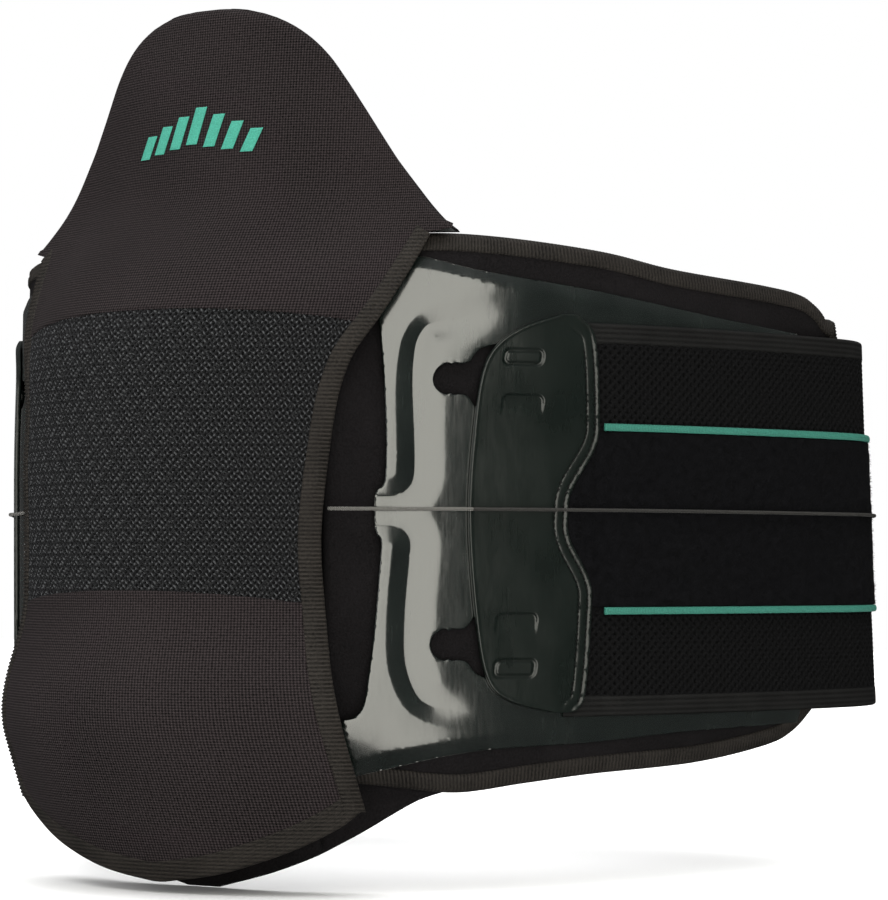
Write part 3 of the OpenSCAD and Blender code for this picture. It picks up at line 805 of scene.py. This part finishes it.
def tuck(s, z):
    """how far the cover drops where it wraps down over the rim of the bell"""
    far = np.abs(nearest(s, z, KNIT_RIM)[0])
    round_off = 1 - np.sqrt(1 - (1 - clamp01(far / 5)) ** 2)
    return (cover_t(s, z) - 2.4) * ease((z - SHOULDER + 6) / 12) * round_off


def knit_t(base):
    return lambda s, z: cover_t(s, z) + base + 0.12 * ripple(s, z, 14, 3) - np.where(z > 135, tuck(s, z), 0)


def on_cover(up):
    return lambda s, z: cover_t(s, z) + up


def hem(length):
    """a soft roll along the seam at V = 0"""
    return lambda u, v: 0.45 * np.exp(-((v * length - 1.2) / 1.1) ** 2)


def make_cover():
    def upper(u, v):
        side = 2 * u - 1
        z = mix(mesh_top(side * 90) + 0.2, BELL_TOP - 0.6, v)
        return side * (cover_half(z) - (TAPE - 4) * (1 - ease((z - 139) / 8))), z

    def lower(u, v):
        side = 2 * u - 1
        z = mix(curve(np.abs(side) * 77, COVER_FOOT) + 4, mesh_foot(side * 80), v)
        return side * (cover_half(z) - TAPE + 4), z

    knit = sheet("cover_upper_knit", upper, (230, 143), (2.4, 2.0), knit_t(0), knit_t(COVER_TH),
                 (1.2, 1.2, 0.9, 1.2), relief=hem(143))
    finish_piece(knit, KNIT, ["cover_upper"], "back")
    foot = sheet("cover_lower_knit", lower, (156, 112), (2.6, 2.4), knit_t(0), knit_t(COVER_TH),
                 (1.2, 1.2, 1.2, 0.9), relief=lambda u, v: hem(112)(u, 1 - v))
    finish_piece(foot, KNIT, ["cover_lower"], "back")

    def in_band(s, z):
        across = np.abs(s) < cover_half(z) - TAPE + 3
        return across & (z > mesh_foot(s) - 2.4) & (z < mesh_top(s) + 1.8)
    net = openwork("cover_band_net", in_band, ((-95, 95), (-18, 116)), (2.3, 2.9), (0.62, 0.86), 1.3,
                   on_cover(0.2), on_cover(COVER_TH - 0.15), crown=0.18)
    finish_piece(net, COVER_NET, ["cover_mesh"], "back")


def cords(x, tall, pitch):
    """raised cords side by side, every pitch mm"""
    return tall * np.cos(2 * math.pi * x / pitch)


def ribbed(length):
    """ribs across a tape, finer and flatter on its inner panel, with a seam between the two"""
    def relief(u, v):
        ribs = cords(u * length, np.where(v < 0.52, 0.34, 0.16), 1.7)
        return ribs * clamp01(8 * np.abs(v - 0.52)) - 0.5 * np.exp(-((v - 0.52) / 0.05) ** 2)
    return relief


def make_cover_tape():
    z = np.linspace(-98, 143, 60)
    right = np.stack([cover_half(z), z], 1)
    parts = []
    for path in (right, right[::-1] * [-1, 1]):
        at, length = band_along(path, TAPE)
        parts.append(sheet_parts(at, (length, TAPE), (0.28, 0.7), on_cover(-0.3), on_cover(COVER_TH + 0.6),
                                 (0.8, 0.8, 1.3, 0.6), relief=ribbed(length)))
    s = np.linspace(-80, 80, 50)
    at, length = band_along(np.stack([s, curve(np.abs(s), COVER_FOOT)], 1), TAPE)
    parts.append(sheet_parts(at, (length, TAPE), (2.4, 0.22), on_cover(-0.35), on_cover(COVER_TH + 0.4),
                             (1, 1, 1.3, 0.6), relief=lambda u, v: cords(v * TAPE, 0.09, 1.25)))
    tape = make_mesh("cover_edge_tape", *joined(parts))
    finish_piece(tape, SIDE_TAPE, ["cover_binding"], "back")


def make_motif():
    """seven slanted bars of satin stitch"""
    parts = []
    for k in range(-3, 4):
        low, tall = 185 - 1.5 * abs(k), 16 - 2 * abs(k)
        at = lambda u, v: (k * 8.5 + mix(-2.7, 2.7, u) + (v - 0.5) * 4, mix(low, low + tall, v))
        parts.append(sheet_parts(at, (5.4, tall), (0.35, 0.16), on_cover(COVER_TH - 0.2),
                                 on_cover(COVER_TH + 0.75), (1.7, 1.7, 0.8, 0.8),
                                 relief=lambda u, v: cords(v * tall, 0.06, 0.5)))
    motif = make_mesh("motif_stitching", *joined(parts))
    finish_piece(motif, MOTIF, ["back_motif"], "back")


PULLEY_S, PULLEY_HEIGHTS, GROOVE_R, LACING_T = 44.0, (-10.0, 55.0), 8.1, 10.8


def wrap(side, z, start, end):
    """cord round the groove of a pulley, from one angle in degrees to another"""
    hub = place(side * PULLEY_S, z, LACING_T)
    turn = float(walk(PULLEY_S)[2])
    a = np.radians(np.linspace(start, end, 41))[:, None]
    across = np.cos(a) * [math.cos(turn), side * math.sin(turn)]
    return hub + MM * GROOVE_R * np.hstack([across, np.sin(a)])


def crossing(a, b):
    n = max(2, round(math.dist(a, b) / 2))
    return place(np.linspace(a[0], b[0], n), np.linspace(a[1], b[1], n), LACING_T)


def cut_at_middle(route):
    """a route as the runs on either side of the middle plane"""
    x0 = 0.1 * MM
    runs, run = [], [route[0]]
    for a, b in zip(route[:-1], route[1:]):
        if (a[0] < x0) != (b[0] < x0):
            middle = mix(a, b, (a[0] - x0) / (a[0] - b[0]))
            runs.append(np.array([*run, middle]))
            run = [middle]
        run.append(b)
    return [*runs, np.array(run)]


def make_lacing():
    parts = {1: [], -1: []}
    for side, zc in ((1, PULLEY_HEIGHTS[1]), (-1, PULLEY_HEIGHTS[0])):
        near, far = zc - side * GROOVE_R, zc + side * GROOVE_R
        route = np.vstack([
            crossing((side * 74, CORD_Z), (side * 34, CORD_Z)),
            crossing((side * 28, CORD_Z + side), (-side * 33, near)),
            wrap(-side, zc, -side * 90, -side * 270),
            crossing((-side * 33, far), (side * 33, far)),
            wrap(side, zc, side * 90, -side * 90),
            crossing((side * 33, near), (side * 24, near)),
        ])
        for run in cut_at_middle(route):
            parts[1 if run[:, 0].mean() > 0 else -1].append(tube_parts(run, CORD_R, 10))
    for name, side, nodes in (("right", 1, ["tension_lacing"]), ("left", -1, [])):
        lacing = make_mesh(f"{name}_lacing_cord", *joined(parts[side]))
        ends = [tuple(place(side * s, CORD_Z, LACING_T)) for s in (3, 30)]
        finish_piece(lacing, CORD_DARK, nodes, blend=("back", f"{name}_side", *ends))


# ---- side plate, with its two grooves and two keyholes ----
GROOVES = [
    [(97, 35.5), (104, 36), (109, 39.5), (110, 47), (109.3, 62), (107.7, 79), (107.2, 90), (108, 99),
     (112, 106), (119, 109), (129, 110.5), (140, 112), (152, 113)],
    [(96, 18), (104, 17.3), (108, 14), (107.7, 5), (106.2, -12), (105.7, -32), (107.8, -44), (112, -53),
     (119, -57.5), (130, -60), (142, -62)],
]
KEYHOLE_EDGE = [(119.6, 0), (120.6, 3.4), (123.0, 5.7), (125.6, 6.5), (127.0, 5.9), (128.6, 6.6), (131, 6.4),
                (133.6, 6.7), (135.6, 8.0), (137.4, 10.6), (140, 12.8), (144.7, 14.2), (150, 14.4),
                (157, 12.5), (162, 7), (163.5, 0)]


def keyhole(z):
    edge = np.array(KEYHOLE_EDGE)
    ring = spline(np.vstack([edge, edge[-2:0:-1] * [1, -1]]), 1.0, closed=True)
    return ring + [0, z]


def groove(s, z, path, flip):
    """one-sided groove: a slope down over its width, then a long shallow rise back to the surface"""
    far, along = nearest(s, z, path)
    d = far * flip
    down = 2.1 * np.minimum(clamp01((4.3 - d) / 7.4) ** 1.15, 1 - ease((-3.1 - d) / 13))
    run = lengths(path)[-1]
    return -down * (1 - ease((along - run + 34) / 34)) * (np.abs(far) < 17)


def make_plate(name, side):
    top = np.array([(s, float(curve(s, PLATE_TOP))) for s in np.linspace(90, 311, 45)])
    foot = np.array([(s, float(curve(s, PLATE_FOOT))) for s in np.linspace(311, 86, 45)])
    ring = np.vstack([spline(PLATE_BACK, 1.5), top, foot])
    paths = [spline(g, 1.0) for g in GROOVES]

    def bevel(s, z, rim, width):
        return 1.9 * clamp01(1 - np.abs(nearest(s, z, rim)[0]) / width)

    def height(s, z):
        bevels = np.maximum(bevel(s, z, top, 5), bevel(s, z, foot, 6.5))
        return PLATE_T + PLATE_TH - bevels + groove(s, z, paths[0], 1) + groove(s, z, paths[1], -1)

    holes = [keyhole(z) for z in KEYHOLES]
    across = np.array([-12, -9, -6.5, -4.9, -4.0, -3.5, -3.1, -2.8, -2.2, -1.0, 0.3, 1.6, 2.8, 3.6, 4.3, 5.0])
    marks = [(paths[0], across), (paths[1], -across), (top, [-4.4, -5, -5.6]), (foot, [-5.8, -6.5, -7.2])]
    plate = moulding(f"{name}_plate_shell", ring, holes, 1.9, PLATE_T, height, 0.55, side, marks)
    finish_piece(plate, PLATE_MAT, [f"{name}_plate"], f"{name}_side")


# ---- tab at the end of the belt arm ----
WINDOWS = [(149.3, 167.9, 87.5, 95.3, 0), (149, 167.6, 67, 76, 1), (146.6, 164.8, -25, -15.6, 1),
           (145.4, 164.5, -43.5, -34.7, 0)]
STITCH_ROWS = (2.2, 6.2)


def tab_under(s, z=0):
    """inner face of the tab, the same at every height"""
    return STRAP_T + (SEAM_TH + GAP) * ease((s - 138) / 39)


def window(s, z, s0, s1, z0, z1, is_open):
    """sunk window with round corners: open ones ramp back to the surface, closed ones have a raised middle"""
    wide, tall, corner = (s1 - s0) / 2, (z1 - z0) / 2, 3.2
    across = np.abs(s - (s0 + s1) / 2 - 0.12 * (z - z1)) - wide + corner
    up = np.maximum(z - (z0 + z1) / 2, 0 if is_open else (z0 + z1) / 2 - z) - tall + corner
    gap = np.hypot(np.maximum(across, 0), np.maximum(up, 0)) + np.minimum(np.maximum(across, up), 0) - corner
    sunk = clamp01(-gap / 0.7)
    if is_open:
        return 0.95 * sunk * ease((z - z0 + 1) / (2 * tall))
    return 0.8 * sunk - 0.7 * clamp01((-gap - 1.6) / 0.6)


def tab_paths():
    back = spline([(s, z) for z, s in TAB_BACK], 1.2)
    front = spline([(s, z) for z, s in TAB_FRONT], 1.2)
    return back, front


def tab_height(s, z):
    back, front = tab_paths()
    edge = np.abs(nearest(s, z, front)[0])
    lip = 0.45 * (1 - ease((edge - 0.5) / 0.6)) + 0.1 * np.exp(-((edge - 4.2) / 1.0) ** 2)
    rows = 0.4 * sum(np.exp(-((edge - row) / 0.55) ** 2) for row in STITCH_ROWS)
    left = 0.3 * (1 - ease((np.abs(nearest(s, z, back)[0]) - 0.7) / 0.8))
    cut = sum(window(s, z, *w) for w in WINDOWS)
    fade = 1 - ease((z - 100) / 6)
    return tab_under(s) + TAB_TH + lip - rows * fade + left - cut


def stitch_row(path, inset, long, gap, t, side):
    """stitches as short rounded capsules along a line inside a path"""
    at, _ = band_along(path, 1.0)
    total = lengths(path)[-1]
    parts = []
    for k in range(int((total - 2) / (long + gap))):
        u = (1 + k * (long + gap) + np.linspace(0, long, 5)) / total
        s, z = at(u, np.full(5, inset))
        arch = np.array([-0.35, 0.12, 0.2, 0.12, -0.35])
        parts.append(tube_parts(place(s, z, call(t, s, z) + arch, side), 0.34, 8))
    return parts


def make_tab(name, side):
    back, front = tab_paths()
    ring = np.vstack([back, front[::-1]])
    marks = [(front, [1.2, 1.7, 2.2, 2.7, 3.3, 4.2, 5.1, 5.7, 6.2, 6.7, 7.3]),
             (back, [-0.5, -1.0, -1.5, -2.2])]
    for s0, s1, z0, z1, _ in WINDOWS:
        grid = np.mgrid[s0 - 1:s1 + 1:0.45, z0 - 1:z1 + 1:0.45].reshape(2, -1).T
        marks.append((grid, [0.0]))
    tab = moulding(f"{name}_tab_shell", ring, [], 1.6, tab_under, tab_height, 0.6, side, marks)
    finish_piece(tab, TAB_MAT, [f"{name}_tab"], f"{name}_arm")
    base = lambda s, z: tab_under(s) + TAB_TH - 0.2
    seam = front[(front[:, 1] > -56) & (front[:, 1] < 101)]
    rows = [stitch_row(seam, inset, 1.9, 0.7, base, side) for inset in STITCH_ROWS]
    stitches = make_mesh(f"{name}_tab_stitches", *joined(sum(rows, [])))
    finish_piece(stitches, STITCH, (), f"{name}_arm")
    levels = np.array([8.7, 9.0, 10.6, 10.9, 12.0])
    knobs = [tube_parts(place(150, z, levels, side), 3.6, 24) for z in KEYHOLES]
    pegs = make_mesh(f"{name}_tab_pegs", *joined(knobs))
    finish_piece(pegs, TAB_MAT, (), f"{name}_arm")


# ---- wing: foam pad, edge tape and the lining between it and the back pad ----
def make_wing(name, side):
    rim = spline(WING_FOOT + WING_TOP[::-1], 3.0)
    inner = rim + 3.0 * path_normals(rim)
    inner[[0, -1], 0] = WING_TOP[0][0]

    def crown(s, z):
        fill = 0.5 * clamp01(np.abs(nearest(s, z, rim)[0]) / 30)
        return wing_t(s) - 0.5 + fill + 0.1 * ripple(s, z, 18, 7)
    pad = moulding(f"{name}_wing_foam", inner, [], 4.5, PAD_IN, crown, 3.5, side, under=1)
    finish_piece(pad, FOAM, [f"{name}_wing_pad"], f"{name}_side")
    at, length = band_along(rim, 8.5)
    tape = sheet(f"{name}_wing_edge", at, (length, 8.5), (0.45, 0.8), PAD_IN - 0.2,
                 lambda s, z: wing_t(s) + 0.5, (1, 1, 4.5, 0.8), side, relief=ribbed(length))
    finish_piece(tape, TAPE_MAT, [f"{name}_wing_binding"], f"{name}_side")
    strip = strip_at(50, 128, lambda s, z: curve(s, LINING_FOOT), 138)
    lining = sheet(f"{name}_gusset", strip, (78, 245), (3, 4),
                   lambda s, z: -3.7 - 0.5 * ease((s - 60) / 20), -2.6, (0.4, 0.4, 0.4, 0.6), side)
    ends = [tuple(place(s, WAIST_Z, -3, side)) for s in (58, 76)]
    finish_piece(lining, FOAM, (), blend=("back", f"{name}_side", *ends))


# ---- belt arm and front half ----
def belt_ends(side):
    return [tuple(place(s, WAIST_Z, STRAP_T, side)) for s in (HINGE_S - 11, HINGE_S + 11)]


def belt_t(base, side, dip=0):
    return lambda s, z: base + closure_rise(s, side) + belt_tilt(s, z) - dip * seam_dip(s)


def tilted(base):
    return lambda s, z: base + belt_tilt(s, z)


def make_belt(name, side):
    front, strap = f"{name}_front", f"{name}_strap"
    across = (f"{name}_arm", front, *belt_ends(side))

    def in_net(s, z):
        reach = (s > ARM_START) & (s < FRONT_END - 1.5) & ((z < -15) | (z > 62))
        return reach & (z > belt_lo(s) + TAPE - 2.5) & (z < belt_hi(s) - TAPE + 2.5)
    net = openwork(f"{name}_belt_net", in_net, ((ARM_START, FRONT_END), (-60, 107)), (4.2, 4.2), (0.72, 0.72),
                   1.5, belt_t(STRAP_T, side), belt_t(STRAP_T + MESH_TH - 0.15, side, 1), side)
    finish_piece(net, BELT_NET, [f"{strap}_mesh", f"{front}_mesh"], blend=across)
    core = sheet(f"{name}_belt_core", strip_at(ARM_START, FRONT_END - 1, -17, 64), (448, 81), (5, 6),
                 belt_t(STRAP_T, side), belt_t(STRAP_T + MESH_TH - 0.2, side, 1), 0.5, side)
    finish_piece(core, BELT_NET, (), blend=across)
    edges = []
    for low, high in ((lambda s, z: belt_lo(s), lambda s, z: belt_lo(s) + TAPE),
                      (lambda s, z: belt_hi(s) - TAPE, lambda s, z: belt_hi(s))):
        at = strip_at(ARM_START, FRONT_END, low, high)
        edges.append(sheet_parts(at, (449, TAPE), (3, 0.6), belt_t(STRAP_T - 0.1, side),
                                 belt_t(STRAP_T + MESH_TH + 0.15, side, 1), (1, 1, 1.2, 1.2), side))
    bands = make_mesh(f"{name}_belt_edges", *joined(edges))
    finish_piece(bands, BAND_TAPE, [f"{strap}_binding", f"{front}_binding"], blend=across)
    pile = make_pile(name, side)
    finish_piece(pile, PILE, [f"{name}_loop", f"{front}_loop"], blend=across)
    lines = []
    for z in (LOOP_LO - 3.3, LOOP_HI + 0.2):
        at = strip_at(LOOP_START, FRONT_END - 6, z, z + 3.2)
        lines.append(sheet_parts(at, (424, 3.2), (0.6, 0.45), belt_t(LOOP_T - 0.2, side),
                                 belt_t(LOOP_T + 2.0, side), (1, 1, 1.5, 1.5), side,
                                 relief=lambda u, v: cords(u * 424 + v * 1.6, 0.1, 1.6)))
    piping = make_mesh(f"{name}_belt_piping", *joined(lines))
    finish_piece(piping, PIPING, [f"{name}_piping", f"{front}_piping"], blend=across)


def make_pile(name, side):
    """brushed loop band: a tufted sheet with fibres standing out of it, each a thin closed spike"""
    base = belt_t(LOOP_T + LOOP_TH - 0.2, side, 1)
    tufts = lambda s, z: base(s, z) + 0.28 * ripple(s, z, 1.7, 11) + 0.3 * ripple(s, z, 4.5, 12)
    end = FRONT_END - 6
    start = lambda z: curve(z, TAB_FRONT) + GAP

    def at(u, v):
        z = mix(LOOP_LO, LOOP_HI, v)
        return mix(start(z), end, u), z
    size = (end - LOOP_START + 12, LOOP_HI - LOOP_LO)
    band = sheet_parts(at, size, (1.6, 1.5), belt_t(LOOP_T, side, 1), tufts, 0.6, side)
    draw = np.random.default_rng(21 + side)
    n = 16000
    z = draw.uniform(LOOP_LO, LOOP_HI, n)
    s = mix(start(z) + 1, end - 0.5, draw.uniform(0, 1, n))
    root = tufts(s, z) - 0.5
    tall, lean_s, lean_z = draw.uniform(0.7, 1.7, n), draw.normal(0, 0.6, n), draw.normal(0, 0.6, n)
    turn, wide = draw.uniform(0, 2 * math.pi, n), 0.14
    feet = [place(s + wide * np.cos(turn + k), z + wide * np.sin(turn + k), root, side)
            for k in (0, 2.1, 4.2)]
    tip = place(s + lean_s, z + lean_z, root + tall, side)
    verts = np.stack([*feet, tip], 1).reshape(-1, 3)
    first = np.arange(n)[:, None] * 4
    tris = np.concatenate([first + f for f in ([0, 2, 1], [0, 1, 3], [1, 2, 3], [2, 0, 3])])[:, ::side]
    cloth = np.repeat(np.stack([s, z], 1), 4, 0)
    return make_mesh(f"{name}_belt_pile", *joined([band, (verts, [tris], cloth)]))


# ---- cord and pull handle ----
def braided(name, s, lift, side, sides=20):
    return make_mesh(name, *tube_parts(place(s, CORD_Z, lift, side), CORD_THIN, sides, braid))


def make_cords(name, side):
    front = f"{name}_front"
    s = np.arange(77.5, 136.6, 0.4)
    lift = mix(STRAP_T + CORD_R - 0.2, STRAP_T + PLATE_TH + GAP + CORD_R, ease((s - 118) / 12))
    inner = braided(f"{name}_cord_at_plate", s, lift, side, 24)
    finish_piece(inner, CORD, [f"{name}_cord_inner"], f"{name}_side")
    s = np.arange(135.4, 401, 0.5)
    lift = mix(tab_under(s) + PLATE_TH - 0.2 + CORD_THIN, CORD_T, ease((s - 184) / 18)) + belt_tilt(s, CORD_Z)
    outer = braided(f"{name}_cord_on_belt", s, lift, side)
    across = (f"{name}_arm", front, *belt_ends(side))
    finish_piece(outer, CORD_DARK, [f"{name}_cord_outer"], blend=across)
    s = np.arange(400, HANDLE_S[0] + 3, 0.5)
    last = braided(f"{name}_cord_at_handle", s, CORD_T + belt_tilt(s, CORD_Z), side)
    ends = [tuple(place(s, CORD_Z, CORD_T, side)) for s in (402, 412)]
    finish_piece(last, CORD_DARK, [f"{name}_cord_front"], blend=(front, f"{name}_pull", *ends))


def make_handle(name, side):
    """oval pull handle with a rim, three grip ribs and an eyelet for the cord"""
    middle = (HANDLE_S[0] + HANDLE_S[1]) / 2
    turn = np.linspace(0, 2 * math.pi, 80, endpoint=False)
    squared = lambda x: np.sign(x) * np.abs(x) ** 0.7
    ring = np.stack([middle + 25 * squared(np.cos(turn)), CORD_Z + 17 * squared(np.sin(turn))], 1)
    hole = np.stack([HANDLE_S[0] + 6 + 1.8 * np.cos(turn[::4]), CORD_Z + 1.8 * np.sin(turn[::4])], 1)

    def height(s, z):
        edge = np.abs(nearest(s, z, looped(ring))[0])
        rim = 0.7 * np.exp(-((edge - 2.2) / 1.1) ** 2)
        grip = 0.7 * clamp01((edge - 4.5) / 2) * (s > HANDLE_S[0] + 12)
        ribs = grip * np.maximum(0, cords(s - middle, 1, 7))
        eye = 0.5 * np.exp(-((np.hypot(s - HANDLE_S[0] - 6, z - CORD_Z) - 3.2) / 0.9) ** 2)
        return HANDLE_T + belt_tilt(s, z) + 2.3 + rim + ribs + eye
    shell = moulding(f"{name}_handle_shell", ring, [hole], 1.2, tilted(HANDLE_T), height, 0.9, side, under=1)
    finish_piece(shell, TAB_MAT, [f"{name}_pull_handle"], f"{name}_pull")
    patch = sheet(f"{name}_handle_hooks",
                  strip_at(HANDLE_S[0] + 6, HANDLE_S[1] - 6, CORD_Z - 12, CORD_Z + 12),
                  (38, 24), (0.8, 0.8), tilted(HANDLE_T - 1.3), tilted(HANDLE_T - 0.3), 0.4, side)
    finish_piece(patch, HOOK, [f"{name}_handle_hook"], f"{name}_pull")


def make_closure_hooks():
    top, foot = STRAP_T + CLOSURE_RISE - 0.3, STRAP_T + CLOSURE_RISE - 1.3
    strip = strip_at(TORSO_HALF - 45, FRONT_END - 5, -30, 77)
    patch = sheet("right_closure_hooks", strip, (90, 107), (1.2, 1.2),
                  tilted(foot), tilted(top), 0.5)
    finish_piece(patch, HOOK, ["right_closure_hook"], "right_front")


# ---- all pieces; the hidden hard parts are the CAD nodes themselves ----
make_back_pad()
make_cover()
make_cover_tape()
make_motif()
make_lacing()
nodes = frame["nodes"]
dress(nodes["back_panel"], PANEL)
for name, side in SIDES.items():
    make_plate(name, side)
    make_tab(name, side)
    make_wing(name, side)
    make_belt(name, side)
    make_cords(name, side)
    make_handle(name, side)
    dress(nodes[f"{name}_pulley_carrier"], PANEL)
    dress(nodes[f"{name}_pulley_pins"], STEEL)
    for where in ("upper", "lower"):
        dress(nodes[f"{name}_pulley_{where}"], PULLEY)
make_closure_hooks()

# ---- camera, light and floor ----
scene = bpy.context.scene
scene.view_settings.view_transform = "Standard"
camera = bpy.data.objects.new("camera", bpy.data.cameras.new("camera"))
camera.data.lens = 129.4
camera.data.shift_y = 0.139
camera.location = (0.8269, -1.2572, -0.025)
camera.rotation_euler = (math.pi / 2, 0, math.radians(32))
scene.collection.objects.link(camera)
scene.camera = camera


def softbox(name, azimuth, distance, height, size, power, tint=(1, 1, 1)):
    """area light at an azimuth in degrees from -Y toward +X, facing the brace"""
    lamp = bpy.data.lights.new(name, "AREA")
    lamp.shape = "RECTANGLE"
    lamp.size, lamp.size_y = size
    lamp.energy = power
    turn = math.radians(azimuth)
    light = bpy.data.objects.new(name, lamp)
    light.location = (distance * math.sin(turn), -distance * math.cos(turn), height)
    light.rotation_euler = (Vector((0.05, 0, 0)) - light.location).to_track_quat("-Z", "Y").to_euler()
    light.visible_camera = False
    lamp.color = tint
    scene.collection.objects.link(light)


softbox("side_panel", 37.5, 2.5, 0.2, (2.05, 4.1), 60, (1, 0.985, 0.89))
softbox("key", -42, 2.6, 0.7, (1.4, 1.8), 24)

world = bpy.data.worlds.new("studio")
scene.world = world
world.use_nodes = True
sky = world.node_tree

# overhead light for diffuse rays, a dim room for reflections, and white where the camera sees the backdrop
rays = add_node(sky, "LightPath")
direction = add_node(sky, "SeparateXYZ")
sky.links.new(add_node(sky, "TexCoord").outputs["Generated"], direction.inputs[0])
overhead = add_node(sky, "MapRange", interpolation_type="SMOOTHSTEP")
for value, socket in zip((0.55, 0.95, 0.05, 4.2), list(overhead.inputs)[1:5]):
    socket.default_value = value
sky.links.new(direction.outputs[2], overhead.inputs[0])
in_gloss = add_node(sky, "MapRange")
sky.links.new(rays.outputs["Is Glossy Ray"], in_gloss.inputs[0])
sky.links.new(overhead.outputs[0], in_gloss.inputs[3])
in_gloss.inputs[4].default_value = 0.05
backdrop = add_node(sky, "Math", operation="MAXIMUM")
sky.links.new(in_gloss.outputs[0], backdrop.inputs[0])
sky.links.new(rays.outputs["Is Camera Ray"], backdrop.inputs[1])
sky.links.new(backdrop.outputs[0], sky.nodes["Background"].inputs["Strength"])
sky.nodes["Background"].inputs["Color"].default_value = (1, 1, 1, 1)

floor_mesh = bpy.data.meshes.new("floor")
reach, low = 4.0, cad_box[0][2] - 0.0005
corners = [(-reach, -reach, low), (reach, -reach, low), (reach, reach, low), (-reach, reach, low)]
floor_mesh.from_pydata(corners, [], [(0, 1, 2, 3)])
floor = bpy.data.objects.new("floor", floor_mesh)
scene.collection.objects.link(floor)
paper = bpy.data.materials.new("studio_paper")
paper.use_nodes = True
settings = {"Base Color": (0.9, 0.9, 0.9, 1), "Roughness": 0.9, "Specular IOR Level": 0.1,
            "Emission Color": (1, 1, 1, 1), "Emission Strength": 0.06}
for key, value in settings.items():
    paper.node_tree.nodes["Principled BSDF"].inputs[key].default_value = value
floor_mesh.materials.append(paper)
floor.visible_glossy = False
floor.visible_shadow = False
